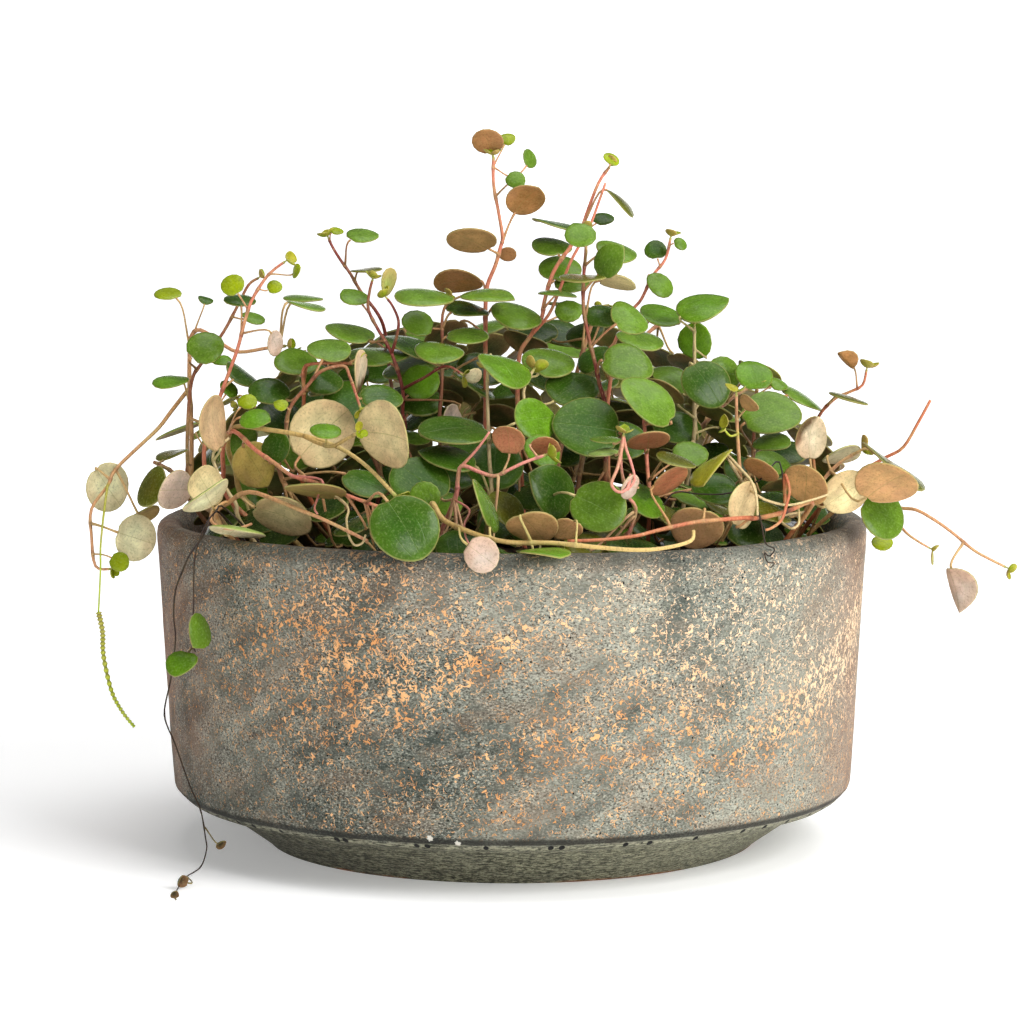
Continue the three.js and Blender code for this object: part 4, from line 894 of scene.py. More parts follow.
            (952, 532, -37), (974, 550, -39), (990, 559, -40), (1006, 567, -41)],
         "looks": "K", "leaves": [(6, 958, 589, -3, 46, -25, -68)]},
        {"from": (0, 1), "thick": 1.3, "route": [(893, 516, -31), (906, 532, -36), (918, 541, -38),
            (930, 548, -39)],
         "looks": "l", "leaves": [(1, 883, 543, -4, 24, 16, -10)]},
    ]},
    {"node": "stem_right_sprig", "root": (92, 0), "thick": 1.6, "bark": "rust", "shoots": [
        {"route": [(814, 480, -6), (812, 445, -8), (819, 417, -9), (835, 399, -10), (850, 392, -10),
            (863, 385, -10), (867, 370, -10)],
         "looks": "Co", "leaves": [(5, 847, 359, 1, 24, -13, -30), (3, 848, 399, -4, 45, 6, -16)]},
    ]},
    {"node": "runner_dead", "root": (-76, -62), "thick": 0.8, "bark": "dead", "shoots": [
        {"knots": [4, 9, 12, 15], "route": [(222, 514, -64), (211, 521, -70), (204, 535, -73),
            (190, 555, -66), (182, 573, -63), (176, 590, -60), (174, 615, -59), (176, 640, -60),
            (171, 680, -57), (165, 715, -54), (176, 745, -57), (190, 785, -63), (201, 810, -67),
            (206, 838, -69), (207, 850, -69), (201, 867, -68), (187, 876.5, -74), (182, 881.5, -82),
            (174, 897, -105)],
         "looks": "x", "leaves": [(13, 222, 845, -3, 12, -7, 40)]},
    ], "twigs": [
        {"from": (0, 16), "thick": 0.5, "route": [(184, 880, -80)],
         "looks": "x", "leaves": [(0, 182, 881, -14, 14, -9, 70)]},
        {"from": (0, 18), "thick": 0.5, "route": [(173, 897.5, -104)],
         "looks": "x", "leaves": [(0, 175, 894.5, -8, 10, -7, 30)]},
    ]},
    {"node": "runner_over_rim", "root": (-70, -68), "thick": 0.8, "bark": "dead", "shoots": [
        {"route": [(228, 510, -71), (216, 512, -76), (206, 525, -81), (199, 543, -79), (195, 560, -78),
            (194, 585, -77), (194, 610, -76), (191, 638, -75), (196, 652, -75)],
         "looks": "gb", "leaves": [(7, 200, 632, -3, 40, 20, -75), (8, 182, 663, -4, 34, 24, 15)]},
    ]},
]


# The stems: each is one soft, juicy shoot with knots where its leaves sit, coral or tan when young and
# brown when old. It stands in the soil on its roots, and its leaves have grown out of it on thin stalks.
BARK_PAINTS = {
    "coral": ((196, 112, 84), (214, 130, 104)), "brown": ((112, 78, 50), (168, 96, 72)),
    "tan": ((176, 134, 84), (206, 150, 110)), "umber": ((104, 74, 48), (140, 100, 70)),
    "beige": ((188, 166, 122), (200, 178, 130)), "straw": ((184, 150, 86), (206, 178, 112)),
    "rust": ((168, 92, 58), (190, 112, 78)), "pink": ((202, 124, 112), (216, 142, 126)),
    "maroon": ((106, 46, 38), (140, 62, 52)), "dead": ((32, 23, 17), (46, 33, 24)),
    "grown": ((120, 84, 56), (176, 120, 84)), "lime": ((168, 160, 70), (170, 194, 44)),
}
STALK_PAINT = (168, 160, 96)
ROUTE_STEP = 0.25
BRANCH_WIDTH = 0.8
ROOT_RADIUS = 0.42
TIP_RADIUS = 0.25
TWIG_TIP_RADIUS = 0.3
KNOT_BELOW = 0.16
KNOT_ABOVE = 0.14
KNOT_LENGTH = 0.13
KNOT_SWELLING = 0.28
KNOT_DARKENING = 0.22
STALK_STEPS = 6
SPIKE_STEPS = 56
KNOT_PLACE = 0.45
LARGE_LEAF = 18.5
SMALL_LEAF = 13
BLADE_THICKNESS = 0.7
BURNT_PAINT = (30, 26, 20)
FOLD = 0.55
ROOT_DEPTH = 9
FOOT_RISE = 3
TWIG_DRAWS = 7

# The stems with no young leaves at their ends: cut, dead, or ending in a full leaf.
BARE_TIPS = ["stem_right_orange", "runner_front_yellow", "runner_front_red", "runner_dead", "runner_over_rim",
             "stem_left_low", "stem_left_beige", "stem_front_coral", "stem_front_tan"]


def through(points, place):
    """The spot at a place along a route: place 2.5 is halfway from point 2 to point 3, on a smooth curve."""
    start = min(int(place), len(points) - 2)
    t = place - start
    before = points[max(start - 1, 0)]
    here = points[start]
    there = points[start + 1]
    after = points[min(start + 2, len(points) - 1)]
    bend = (there - before) * 0.5
    next_bend = (after - here) * 0.5
    return (here * (2 * t ** 3 - 3 * t ** 2 + 1) + bend * (t ** 3 - 2 * t ** 2 + t)
            + there * (3 * t ** 2 - 2 * t ** 3) + next_bend * (t ** 3 - t ** 2))


def shoot_line(points, root_radius, tip_radius, knots, paints):
    """A shoot as (spot, radius, colour), with a swelling and a darker ring at each knot."""
    last = len(points) - 1
    places = {step * ROUTE_STEP for step in range(int(last / ROUTE_STEP) + 1)}
    for knot in knots:
        places |= {max(knot - KNOT_BELOW, 0), knot, min(knot + KNOT_ABOVE, last)}
    line = []
    for place in sorted(places):
        swelling = max([math.exp(-((place - knot) / KNOT_LENGTH) ** 2) for knot in knots], default=0)
        share = place / last
        radius = (root_radius + (tip_radius - root_radius) * share) * (1 + KNOT_SWELLING * swelling)
        colour = np.array(paints[0]) * (1 - share) + np.array(paints[1]) * share
        line.append((through(points, place), radius, colour * (1 - KNOT_DARKENING * swelling)))
    return line


def bumpy(line):
    """A flower spike's line: its tiny flowers stand close together as bumps round the rod."""
    spots = [spot for spot, _, _ in line]
    spike = []
    for step in range(SPIKE_STEPS + 1):
        place = (len(line) - 1) * step / SPIKE_STEPS
        _, radius, colour = line[round(place)]
        wide, bright = (1.35, 1.1) if step % 2 else (0.7, 0.7)
        spike.append((through(spots, place), radius * wide, colour * bright))
    return spike


def stalk_line(leaf, lift, colour):
    """A leaf stalk as (spot, radius, colour): it leaves the stem, bends and runs into the blade's base."""
    base = leaf.middle - leaf.tipward * (0.47 * leaf.length) + leaf.normal * lift
    span = (base - leaf.joint).length
    thin = min(1, 0.4 + leaf.length / 25)
    first = leaf.joint.lerp(base, 0.35) + UP * (0.05 * span)
    second = base - leaf.tipward * (0.28 * span) - leaf.normal * (0.06 * span)
    line = []
    for step in range(STALK_STEPS + 1):
        t = step / STALK_STEPS
        spot = (leaf.joint * (1 - t) ** 3 + first * (3 * t * (1 - t) ** 2)
                + second * (3 * t ** 2 * (1 - t)) + base * t ** 3)
        line.append((spot, thin * (0.56 - 0.14 * math.sin(math.pi * t) - 0.08 * t), colour))
    return line


def blade_kind(leaf, folded, chance):
    """Large leaves are round, folded ones egg-shaped, and the others are of all three kinds."""
    kinds = small_blades if leaf.young or leaf.length <= SMALL_LEAF else blades
    if folded:
        return kinds["egg"]
    if chance < 0.6 or leaf.length > LARGE_LEAF:
        return kinds["round"]
    return kinds["egg" if chance < 0.8 else "spoon"]


def grow_blade(leaf, look, keys):
    """A copy of a blade, cupped, turned into its leaf's place and painted. A capital look is folded."""
    folded = FOLD if look.isupper() else 0
    look = look.lower()
    kind = blade_kind(leaf, folded, draw(*keys, 31))
    blade = kind.copy()
    blade.data = kind.data.copy()
    bpy.context.scene.collection.objects.link(blade)
    mesh = blade.data
    flat = np.empty(len(mesh.vertices) * 3)
    mesh.vertices.foreach_get("co", flat)
    x, y, z = flat.reshape(-1, 3).T
    upper = np.empty(len(mesh.vertices))
    mesh.attributes["upper"].data.foreach_get("value", upper)

    angle = np.arctan2(y, x)
    ripple = 1 + 0.02 * np.cos(2 * angle + 6 * draw(*keys, 32))
    ripple += 0.015 * np.cos(3 * angle + 6 * draw(*keys, 33))
    x, y = x * ripple, y * ripple
    crumple = 4 if look == "x" else 2.4 if leaf.young else 1
    dome = (0.1 + 0.26 * draw(*keys, 34)) * (-crumple if leaf.young else crumple)
    twist = 0.3 * (draw(*keys, 35) - 0.5) * crumple
    bow = 0.3 * (draw(*keys, 39) - 0.3) * crumple
    wave = 0.05 * np.cos(2 * angle + 6 * draw(*keys, 36)) * (x * x + y * y)
    curl_up = 0.16 * np.abs(x) ** 1.5 * draw(*keys, 40)
    lift = dome * (0.2 - x * x - y * y) + twist * x * y - bow * y * y + curl_up + wave
    lift += folded * (np.abs(x) - 0.15)
    thick = BLADE_THICKNESS * min(1, 0.45 + leaf.length / 30)
    spots = (np.array(leaf.middle) + np.outer(x * leaf.length, leaf.side)
             + np.outer(y * leaf.length, leaf.tipward)
             + np.outer(lift * leaf.length + z * thick, leaf.normal))
    mesh.vertices.foreach_set("co", (spots * MM).ravel())

    over, under = (np.array(paint(*colour)) for colour in BLADE_LOOKS[look])
    shade = 0.86 + 0.28 * draw(*keys, 37)
    tints = (np.outer(upper, over) + np.outer(1 - upper, under)) * [shade, shade, shade, 1]
    if look == "e":
        burnt = np.clip(9 * (0.7 * y + x - 0.2 + 0.06 * np.cos(5 * angle)), 0, 1)[:, None]
        tints = tints * (1 - burnt) + np.array(paint(*BURNT_PAINT)) * burnt
    mesh.attributes["tint"].data.foreach_set("color", tints.ravel())
    cover(blade, leaf_skin)
    return blade, -(0.05 * dome + 0.25 * bow) * leaf.length


def grow_wood(name, lines):
    """The rods of a stem and its stalks, as one mesh that is round and closed at its ends."""
    curve = bpy.data.curves.new(name, "CURVE")
    curve.dimensions = "3D"
    curve.bevel_depth = 1
    curve.bevel_resolution = 2
    curve.use_fill_caps = True
    spots = KDTree(sum(len(line) for line in lines))
    colours = []
    for line in lines:
        spline = curve.splines.new("POLY")
        spline.points.add(len(line) - 1)
        for point, (spot, radius, colour) in zip(spline.points, line):
            point.co = (*(spot * MM), 1)
            point.radius = radius * MM
            spots.insert(spot * MM, len(colours))
            colours.append(paint(*colour))
    spots.balance()
    wood = bpy.data.objects.new(name, curve)
    bpy.context.scene.collection.objects.link(wood)
    only(wood)
    bpy.ops.object.convert(target="MESH")
    wood = bpy.context.object
    bpy.ops.object.mode_set(mode="EDIT")
    bpy.ops.mesh.select_all(action="SELECT")
    bpy.ops.mesh.remove_doubles(threshold=1e-6)
    bpy.ops.object.mode_set(mode="OBJECT")
    wood.data.attributes.new("upper", "FLOAT", "POINT")
    tints = wood.data.attributes.new("tint", "FLOAT_COLOR", "POINT")
    for vertex in wood.data.vertices:
        tints.data[vertex.index].color = colours[spots.find(vertex.co)[1]]
    cover(wood, bark)
    wood.data.shade_smooth()
    return wood


def grow_plant(name, lines, leaves):
    """One stem with all that has grown on it, joined into one piece that stands for its frame node."""
    grown = []
    for leaf, look, colour, keys in leaves:
        blade, lift = grow_blade(leaf, look, keys)
        grown.append(blade)
        lines.append(stalk_line(leaf, lift, colour))
    wood = grow_wood(name, lines)
    only(wood)
    for blade in grown:
        blade.select_set(True)
    bpy.ops.object.join()
    wood.name = name + "_grown"
    stand_for(wood, name)


def foot_of(root):
    return Vector((*root, soil_top(math.hypot(*root)) + FOOT_RISE))


def stalk_colour(paints):
    """A stalk is greener than the young end of its stem."""
    return np.array(paints[1]) * 0.55 + np.array(STALK_PAINT) * 0.45


plants = []
for number, stem in enumerate(STEMS):
    paints = BARK_PAINTS[stem["bark"]]
    corners = corners_of(stem["node"])
    foot = foot_of(stem["root"])
    routes = [[seen(*point) for point in shoot["route"]] for shoot in stem["shoots"]]
    lines = []
    leaves = []
    tips = []
    for order, (shoot, route) in enumerate(zip(stem["shoots"], routes)):
        if "from" in shoot:
            branch, point = shoot["from"]
            begin = [routes[branch][point]]
            thick = shoot.get("thick", BRANCH_WIDTH * stem["thick"])
        else:
            begin = [foot - UP * ROOT_DEPTH, foot]
            thick = stem["thick"]
        entries = shoot.get("leaves", [])
        knots = [len(begin) + max(entry[0] - KNOT_PLACE, 0) for entry in entries]
        bare_knots = [len(begin) + point for point in shoot.get("knots", [])]
        shoot_paints = BARK_PAINTS[shoot.get("bark", stem["bark"])]
        line = shoot_line(begin + route, ROOT_RADIUS * thick, TIP_RADIUS * thick, knots + bare_knots,
                          shoot_paints)
        lines.append(bumpy(line) if "spike" in shoot else line)
        for entry, look, knot in zip(entries, shoot.get("looks", ""), knots):
            tries = [traced_leaf(on_route(route, entry[0]), entry, nudge) for nudge in NUDGES]
            leaf = first_held(corners, tries, Leaf.tip_corners, LEAF_REACH)
            leaf.joint = through(begin + route, knot)
            leaves.append((leaf, look, stalk_colour(paints), (number, order, len(leaves))))
        if stem["node"] not in BARE_TIPS and shoot.get("bark") != "lime":
            tips.append(route)
    for twig in stem.get("twigs", []):
        branch, point = twig["from"]
        route = [routes[branch][point]] + [seen(*point) for point in twig["route"]]
        thick = twig["thick"]
        twig_paints = BARK_PAINTS[twig.get("bark", stem["bark"])]
        lines.append(shoot_line(route, ROOT_RADIUS * thick, TWIG_TIP_RADIUS * thick, [], twig_paints))
        for entry, look in zip(twig.get("leaves", []), twig.get("looks", "")):
            leaf = traced_leaf(route[0], entry, 0)
            leaves.append((leaf, look, stalk_colour(paints), (number, TWIG_DRAWS, len(leaves))))
        if "young" in twig:
            tips.append(route)
    plants.append({"name": stem["node"], "lines": lines, "leaves": leaves, "routes": routes, "paints": paints,
                   "traced": True, "tips": tips})


# The stems that the front hides: they are grown by the rule of the part's source, each with a leaf at
# every knot and one low leaf at its foot. They too stand in the soil on their roots.
PLACES = 26
SPREAD = 94
TURN = math.radians(137.5)
SEGMENT = 10.5
ROUTE_TRIES = 14
LEAF_TRIES = 16
LOW_TRIES = 24
GROWN_LOOKS = "ggdgdbgo"
GROWN_DRAWS = 9
GROWN_RADII = (0.9, 0.63)
PLANT_RADIUS = 115


def grown_route(place, attempt):
    angle = place * TURN
    distance = SPREAD * math.sqrt((place + 0.5) / PLACES)
    outer = distance / SPREAD
    heading = angle + (1 + 0.2 * attempt) * (draw(place, attempt, 1) - 0.5)
    drift = 0.3 * (draw(place, attempt, 2) - 0.5)
    segments = math.floor(6.4 + 1.8 * draw(place, attempt, 3) - outer + 0.5)
    droop = 0.05 + 0.27 * outer ** 2 + 0.09 * draw(place, attempt, 4)
    root = (distance * math.cos(angle), distance * math.sin(angle))
    route = [foot_of(root) + UP * FOOT_RISE]
    for step in range(segments):
        climb = 1.5 - 0.5 * outer ** 2 - droop * step
        way = heading + drift * step
        level = SEGMENT * math.cos(climb)
        rise = SEGMENT * math.sin(climb)
        route.append(route[-1] + Vector((level * math.cos(way), level * math.sin(way), rise)))
    return root, route


def facing_out(middle, lean):
    """The way a leaf faces: up, and outward by some lean."""
    return UP + Vector((middle.x, middle.y, 0)) / PLANT_RADIUS * lean


def grown_leaf(place, route, knot, attempt):
    start = on_route(route, knot)
    last = knot == len(route) - 1
    way = (route[knot] - route[knot - 1]).normalized()
    if not last:
        sway = (1 if knot % 2 == 0 else -1) * (0.9 + 0.9 * draw(place, knot, attempt, 5))
        way.rotate(Matrix.Rotation(sway, 3, "Z"))
    way.z = 0.25 + 0.5 * draw(place, knot, attempt, 6)
    way.normalize()
    length = (11 if last else 20) - 0.7 * knot + 4 * (draw(place, knot, attempt, 7) - 0.5)
    middle = start + way * (length / 2 + 4 + 6 * draw(place, knot, attempt, 8))
    normal = facing_out(middle, 0.3 + 1.1 * draw(place, knot, attempt, 9))
    normal += way * (0.5 * (draw(place, knot, attempt, 10) - 0.4))
    return Leaf(start, middle, normal, length)


def low_leaf(place, foot, above, attempt):
    start = foot.lerp(above, 0.6)
    heading = 2 * math.pi * draw(place, attempt, 11)
    way = Vector((math.cos(heading), math.sin(heading), 0.1 + 0.5 * draw(place, attempt, 12))).normalized()
    length = 16 + 5 * draw(place, attempt, 13)
    middle = start + way * (length / 2 + 4 + 7 * draw(place, attempt, 14))
    return Leaf(start, middle, facing_out(middle, 0.2 + 1.4 * draw(place, attempt, 15)), length)


for place in range(PLACES):
    name = f"stem_grown_{place}"
    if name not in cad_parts:
        continue
    corners = corners_of(name)
    routes = [grown_route(place, attempt) for attempt in range(ROUTE_TRIES)]
    root, route = first_held(corners, routes, lambda one: one[1], ROUTE_REACH)
    foot = foot_of(root)
    paints = BARK_PAINTS["grown"]
    found = []
    for knot in range(len(route) - 1, 0, -1):
        tries = [grown_leaf(place, route, knot, attempt) for attempt in range(LEAF_TRIES)]
        found.append(first_held(corners, tries, Leaf.tip_corners, LEAF_REACH))
    tries = [low_leaf(place, foot, route[0], attempt) for attempt in range(LOW_TRIES)]
    found.append(first_held(corners, tries, Leaf.tip_corners, LEAF_REACH))
    leaves = []
    for order, leaf in enumerate(found):
        if leaf:
            look = "l" if order == 0 else GROWN_LOOKS[int(len(GROWN_LOOKS) * draw(place, order, 38))]
            leaves.append((leaf, look, stalk_colour(paints), (place, GROWN_DRAWS, order)))
    knots = [2 + knot - KNOT_PLACE for knot in range(1, len(route))]
    line = shoot_line([foot - UP * ROOT_DEPTH, foot] + route, *GROWN_RADII, knots, paints)
    plants.append({"name": name, "lines": [line], "leaves": leaves, "routes": [route], "paints": paints,
                   "traced": False, "tips": [route]})


# The young leaves at the tips: each growing tip ends in two or three tiny lime leaves round a bud.
# They are cupped, and have opened out of the bud one after the other, turned round the stem.
BUD_PAINT = np.array((172, 176, 92))
YOUNG_TURN = 2.3

for number, plant in enumerate(plants):
    for order, route in enumerate(plant["tips"]):
        tip = route[-1]
        way = (route[-1] - route[-2]).normalized()
        across = way.orthogonal().normalized()
        for turn in range(2 + int(2 * draw(number, order, 41))):
            heading = Matrix.Rotation(YOUNG_TURN * turn + 6 * draw(number, order, 42), 3, way) @ across
            length = 2.6 + 2.2 * draw(number, order, turn, 43)
            outward = (way * 1.1 + heading).normalized()
            leaf = Leaf(tip, tip + outward * (0.5 + 0.55 * length), way - heading * 0.6, length, young=True)
            plant["leaves"].append((leaf, "ly"[turn % 2], BUD_PAINT, (number, order, turn, 44)))


# The leaves inside the plant and low over the soil: they fill the shade between the stems, down to the
# rim. Each is aimed at a gap that would show through the plant, or at bare soil, touches nothing, hides
# no leaf in front of it and has grown from the nearest stem on a thin stalk.
INNER_LEAVES = 420
INNER_TRIES = 36
INNER_DEPTHS = (-84, 76)
INNER_STALK = 28
# Inner leaves mostly take the darkest green (s), as painted shade deep in the plant.
INNER_SHADE_LOOKS = "sdssdgos"
LOW_LEAVES = 240
LOW_LEAF_TRIES = 12
LOW_HEIGHTS = (100, 118)
LOW_STALK = 34
# Low leaves too are mostly the darkest green, as painted shade low in the plant.
LOW_SHADE_LOOKS = "sdsdsgos"
NEW_LENGTHS = (11, 18)
PICTURE = 1024
CELL = 4
RIM_ROW = 544
OUTLINE_END = 519
FRONT_OUTLINE = ([150, 175, 200, 240, 300, 420, 600, 700, 770, 830, 862, 885],
                 [520, 490, 440, 405, 356, 322, 318, 362, 400, 446, 490, 520])
SOIL_REACH = 110
SOIL_CELL = 4
SOIL_SEEN = 99
OVER_SOIL = 3
INSIDE_RIM = 104
OVER_RIM = 107.5
PLANT_REACH = 117
LEAF_GAP = 1.5
SHORTEST_STALK = 2
FRONT_REACH = 120
EDGE_ON = 0.3
HIDES_WITHIN = 1.8
HIDES_FROM = 2
MARGIN = 3
LOW_DRAWS = 61
BLADE_SPOTS = ((0.25, 8), (0.46, 14))


def between(limits, share):
    return limits[0] + (limits[1] - limits[0]) * share


def picture_of(spots):
    """Where spots (rows of x, y, z) show in the traced view, with their depth: columns, rows, depths."""
    back, over = spots[:, 1] + CAMERA_BACK, spots[:, 2] - CAMERA_HEIGHT
    forward = back * math.cos(PITCH) - over * math.sin(PITCH)
    up = back * math.sin(PITCH) + over * math.cos(PITCH)
    return MIDDLE_COLUMN + FOCAL * spots[:, 0] / forward, MIDDLE_ROW - FOCAL * up / forward, spots[:, 1]


def spots_of(leaf):
    """Spots spread over a leaf's blade, as rows of x, y, z."""
    spots = [leaf.middle]
    for width, count in BLADE_SPOTS:
        for step in range(count):
            angle = 2 * math.pi * step / count
            spots.append(leaf.middle + leaf.side * (width * leaf.length * math.cos(angle))
                         + leaf.tipward * (width * leaf.length * math.sin(angle)))
    return np.array(spots)


def covers(leaf):
    """The cells of the traced view that a leaf's blade covers, as rows and columns."""
    half = leaf.length / 2
    edges = np.array([leaf.middle, leaf.middle + leaf.side * half, leaf.middle + leaf.tipward * half])
    columns, rows, _ = picture_of(edges)
    columns, rows = columns / CELL, rows / CELL
    reach = math.ceil(half * FOCAL / (CAMERA_BACK - FRONT_REACH) / CELL)
    across = np.arange(int(columns[0]) - reach, int(columns[0]) + reach + 1)
    down = np.arange(int(rows[0]) - reach, int(rows[0]) + reach + 1)
    grid_across, grid_down = np.meshgrid(across + 0.5 - columns[0], down + 0.5 - rows[0])
    (a, b), (c, d) = (columns[1:] - columns[0]), (rows[1:] - rows[0])
    size = a * d - b * c
    if abs(size) < EDGE_ON:
        return np.empty(0, int), np.empty(0, int)
    sideways = (d * grid_across - b * grid_down) / size
    tipward = (a * grid_down - c * grid_across) / size
    found_down, found_across = np.nonzero(sideways ** 2 + tipward ** 2 < 1)
    return down[found_down], across[found_across]


def shades(leaf):
    """The cells of the soil, seen from above, that lie under a leaf's blade, as rows and columns."""
    cells = np.clip((spots_of(leaf)[:, :2] + SOIL_REACH) / SOIL_CELL, 0, len(bare_cells) - 1).astype(int)
    return cells[:, 1], cells[:, 0]


soil_steps = np.arange(-SOIL_REACH, SOIL_REACH, SOIL_CELL) + SOIL_CELL / 2
bare_cells = np.hypot(*np.meshgrid(soil_steps, soil_steps)) < SOIL_SEEN
open_cells = np.zeros((PICTURE // CELL, PICTURE // CELL), bool)
for column in range(open_cells.shape[1]):
    top = np.interp(CELL * (column + 0.5), *FRONT_OUTLINE)
    if top < OUTLINE_END:
        open_cells[int(top / CELL) + 1:RIM_ROW // CELL, column] = True

# What stands there already: all spots of stems and leaves, and those that the front shows.
taken = [np.array([spot for line in plant["lines"] for spot, _, _ in line]) for plant in plants]
stems_shown = [spots for spots, plant in zip(taken, plants) if plant["traced"]]
leaves_shown = []
for plant in plants:
    for leaf, _, _, _ in plant["leaves"]:
        taken.append(spots_of(leaf))
        open_cells[covers(leaf)] = False
        bare_cells[shades(leaf)] = False
        if plant["traced"]:
            leaves_shown.append(taken[-1])
taken = np.vstack(taken)
all_shown = picture_of(np.vstack(stems_shown + leaves_shown))
leaves_shown = picture_of(np.vstack(leaves_shown))

# The places on the stems that a new stalk can start from.
joints = []
for plant in plants:
    if not plant["name"].startswith("runner") and "trailing" not in plant["name"]:
        route = plant["routes"][0]
        joints += [(plant, through(route, ROUTE_STEP * step)) for step in range(4 * (len(route) - 1))]
joint_spots = np.array([spot for _, spot in joints])


def stands_free(leaf, shown):
    """Whether a leaf touches nothing, keeps inside the plant and hides nothing that is shown."""
    spots = spots_of(leaf)
    outmost = np.hypot(spots[:, 0], spots[:, 1]).max()
    lowest = spots[:, 2].min()
    if outmost > PLANT_REACH or lowest < soil_top(100) + OVER_SOIL:
        return False
    if outmost > INSIDE_RIM and lowest < OVER_RIM:
        return False
    columns, rows, depths = picture_of(spots)
    if (rows < np.interp(columns, *FRONT_OUTLINE)).any():
        return False
    near = (np.abs(taken - spots[0]) < leaf.length + MARGIN).all(axis=1)
    gaps = np.linalg.norm(taken[near][:, None] - spots[None], axis=2)
    if gaps.size and gaps.min() < LEAF_GAP:
        return False
    hides = np.hypot(shown[0] - columns[0], shown[1] - rows[0]) < HIDES_WITHIN * leaf.length + MARGIN
    return not (shown[2][hides] > depths[0] + HIDES_FROM).any()


def new_leaf(middle, length, longest_stalk, tilt, lean):
    """A leaf on the stem that lies nearest, and its plant, or nothing where no stem is near enough."""
    reach = np.linalg.norm(joint_spots - np.array(middle), axis=1)
    reach[reach < 0.5 * length + SHORTEST_STALK] = math.inf
    nearest = int(reach.argmin())
    if reach[nearest] > longest_stalk:
        return None, None
    plant, start = joints[nearest]
    return Leaf(start, middle, facing_out(middle, lean) + tilt, length), plant


def sloping(heading, slope):
    return Vector((math.cos(heading), math.sin(heading), 0)) * slope


def keep_leaf(leaf, plant, look, keys):
    """Gives a plant its new leaf, and returns the taken spots with the leaf's own."""
    plant["leaves"].append((leaf, look, stalk_colour(plant["paints"]), keys))
    open_cells[covers(leaf)] = False
    bare_cells[shades(leaf)] = False
    return np.vstack([taken, spots_of(leaf)])


for order in range(INNER_LEAVES):
    gaps = np.argwhere(open_cells)
    if not len(gaps):
        break
    best = None
    most = 2
    for attempt in range(INNER_TRIES):
        keys = (order, attempt)
        down, across = gaps[int(len(gaps) * draw(*keys, 51))]
        middle = seen(CELL * (across + 0.5), CELL * (down + 0.5), between(INNER_DEPTHS, draw(*keys, 52)))
        tilt = sloping(2 * math.pi * draw(*keys, 55), 0.2 + 0.9 * draw(*keys, 56))
        leaf, plant = new_leaf(middle, between(NEW_LENGTHS, draw(*keys, 54)), INNER_STALK, tilt, 0.5)
        if leaf:
            gain = open_cells[covers(leaf)].sum()
            if gain > most and stands_free(leaf, all_shown):
                most = gain
                best = leaf, plant, INNER_SHADE_LOOKS[int(len(INNER_SHADE_LOOKS) * draw(*keys, 57))], (*keys, 58)
    if best:
        taken = keep_leaf(*best)

for order in range(LOW_LEAVES):
    gaps = np.argwhere(bare_cells)
    if not len(gaps):
        break
    for attempt in range(LOW_LEAF_TRIES):
        keys = (order, attempt, LOW_DRAWS)
        down, across = gaps[int(len(gaps) * draw(*keys, 1))]
        middle = Vector((soil_steps[across], soil_steps[down], between(LOW_HEIGHTS, draw(*keys, 2))))
        tilt = sloping(2 * math.pi * draw(*keys, 5), 0.1 + 0.5 * draw(*keys, 6))
        leaf, plant = new_leaf(middle, between(NEW_LENGTHS, draw(*keys, 4)), LOW_STALK, tilt, 0.7)
        if leaf and stands_free(leaf, leaves_shown):
            taken = keep_leaf(leaf, plant, LOW_SHADE_LOOKS[int(len(LOW_SHADE_LOOKS) * draw(*keys, 7))], (*keys, 8))
            break

for plant in plants:
    grow_plant(plant["name"], plant["lines"], plant["leaves"])
for blade in [*blades.values(), *small_blades.values()]:
    bpy.data.objects.remove(blade)


# The stage: a plain pale floor that runs up into a backdrop, lit by soft studio light.
# It is white paper, and glows a little more the further it lies from the pot.
FLOOR_SIZE = 24
BACKDROP_FROM = 2
BACKDROP_STEPS = ((0.06, 0.3), (0.2, 0.25), (0.35, 0.2), (3, 0.3))
LAMPS = {
    "overhead": {"place": (0.3, 0, 1.3), "target": (0, 0, 0.1), "size": 1.2, "power": 15},
    "fill": {"place": (-0.5, -1.4, 0.35), "target": (0, 0, 0.1), "size": 0.9, "power": 5},
    "key": {"place": (0.85, -0.85, 0.75), "target": (0, 0, 0.08), "size": 0.7, "power": 17},
}
WORLD_LIGHT = 0.18

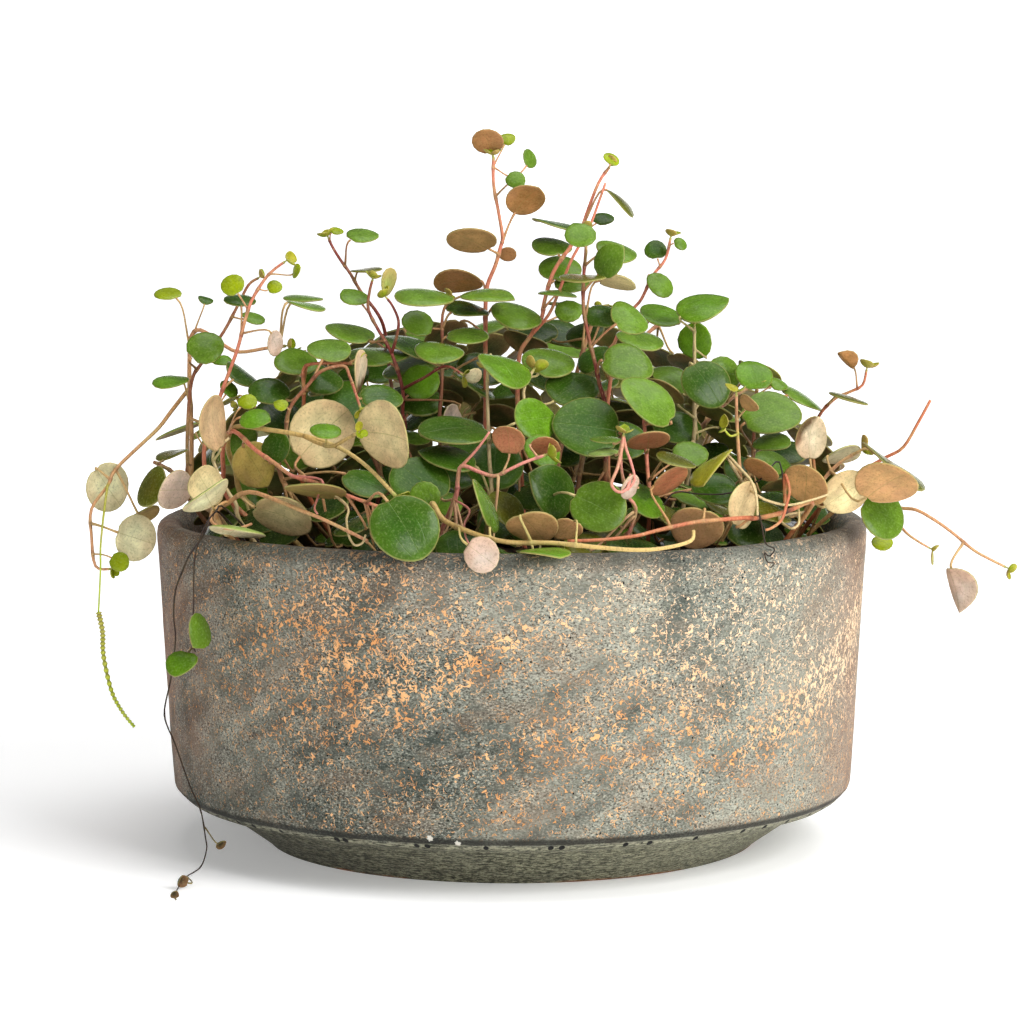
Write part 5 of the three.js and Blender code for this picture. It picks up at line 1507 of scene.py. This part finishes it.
bpy.ops.object.select_all(action="DESELECT")
bpy.ops.mesh.primitive_plane_add(size=FLOOR_SIZE, location=(0, 0, 0))
floor = bpy.context.object
floor.name = "floor"
bpy.ops.object.mode_set(mode="EDIT")
bpy.ops.mesh.select_mode(type="EDGE")
bpy.ops.mesh.select_all(action="DESELECT")
bpy.ops.object.mode_set(mode="OBJECT")
for edge in floor.data.edges:
    edge.select = all(floor.data.vertices[index].co.y > BACKDROP_FROM for index in edge.vertices)
bpy.ops.object.mode_set(mode="EDIT")
for rise, back in BACKDROP_STEPS:
    bpy.ops.mesh.extrude_region_move(TRANSFORM_OT_translate={"value": (0, back, rise)})
bpy.ops.object.mode_set(mode="OBJECT")
floor.data.shade_smooth()
paper, tree, skin, place = new_material("white_paper", 0.9)
skin.inputs["Base Color"].default_value = (0.92, 0.92, 0.92, 1)
skin.inputs["Emission Color"].default_value = (1, 1, 1, 1)
distance = node(tree, "ShaderNodeVectorMath", {0: place}, operation="LENGTH").outputs["Value"]
tree.links.new(eased(tree, distance, 0.3, 1.4, 0.24, 1), skin.inputs["Emission Strength"])
cover(floor, paper)

for name, lamp in LAMPS.items():
    light = bpy.data.lights.new(name, "AREA")
    light.shape = "RECTANGLE"
    light.size = light.size_y = lamp["size"]
    light.energy = lamp["power"]
    stand = bpy.data.objects.new(name, light)
    stand.location = lamp["place"]
    facing = Vector(lamp["target"]) - Vector(lamp["place"])
    stand.rotation_euler = facing.to_track_quat("-Z", "Y").to_euler()
    bpy.context.scene.collection.objects.link(stand)
world = bpy.data.worlds.new("studio")
world.use_nodes = True
world.node_tree.nodes["Background"].inputs["Color"].default_value = (1, 1, 1, 1)
world.node_tree.nodes["Background"].inputs["Strength"].default_value = WORLD_LIGHT
bpy.context.scene.world = world
bpy.context.scene.view_settings.view_transform = "Standard"


# The camera: where the photograph's stood, worked out from the pot's rim and foot.
SENSOR = 36
camera = bpy.data.objects.new("camera", bpy.data.cameras.new("camera"))
camera.location = (0, -CAMERA_BACK * MM, CAMERA_HEIGHT * MM)
camera.rotation_euler = (math.pi / 2 - PITCH, 0, 0)
camera.data.sensor_width = SENSOR
camera.data.lens = SENSOR * FOCAL / PICTURE
camera.data.clip_end = 20
bpy.context.scene.collection.objects.link(camera)
bpy.context.scene.camera = camera
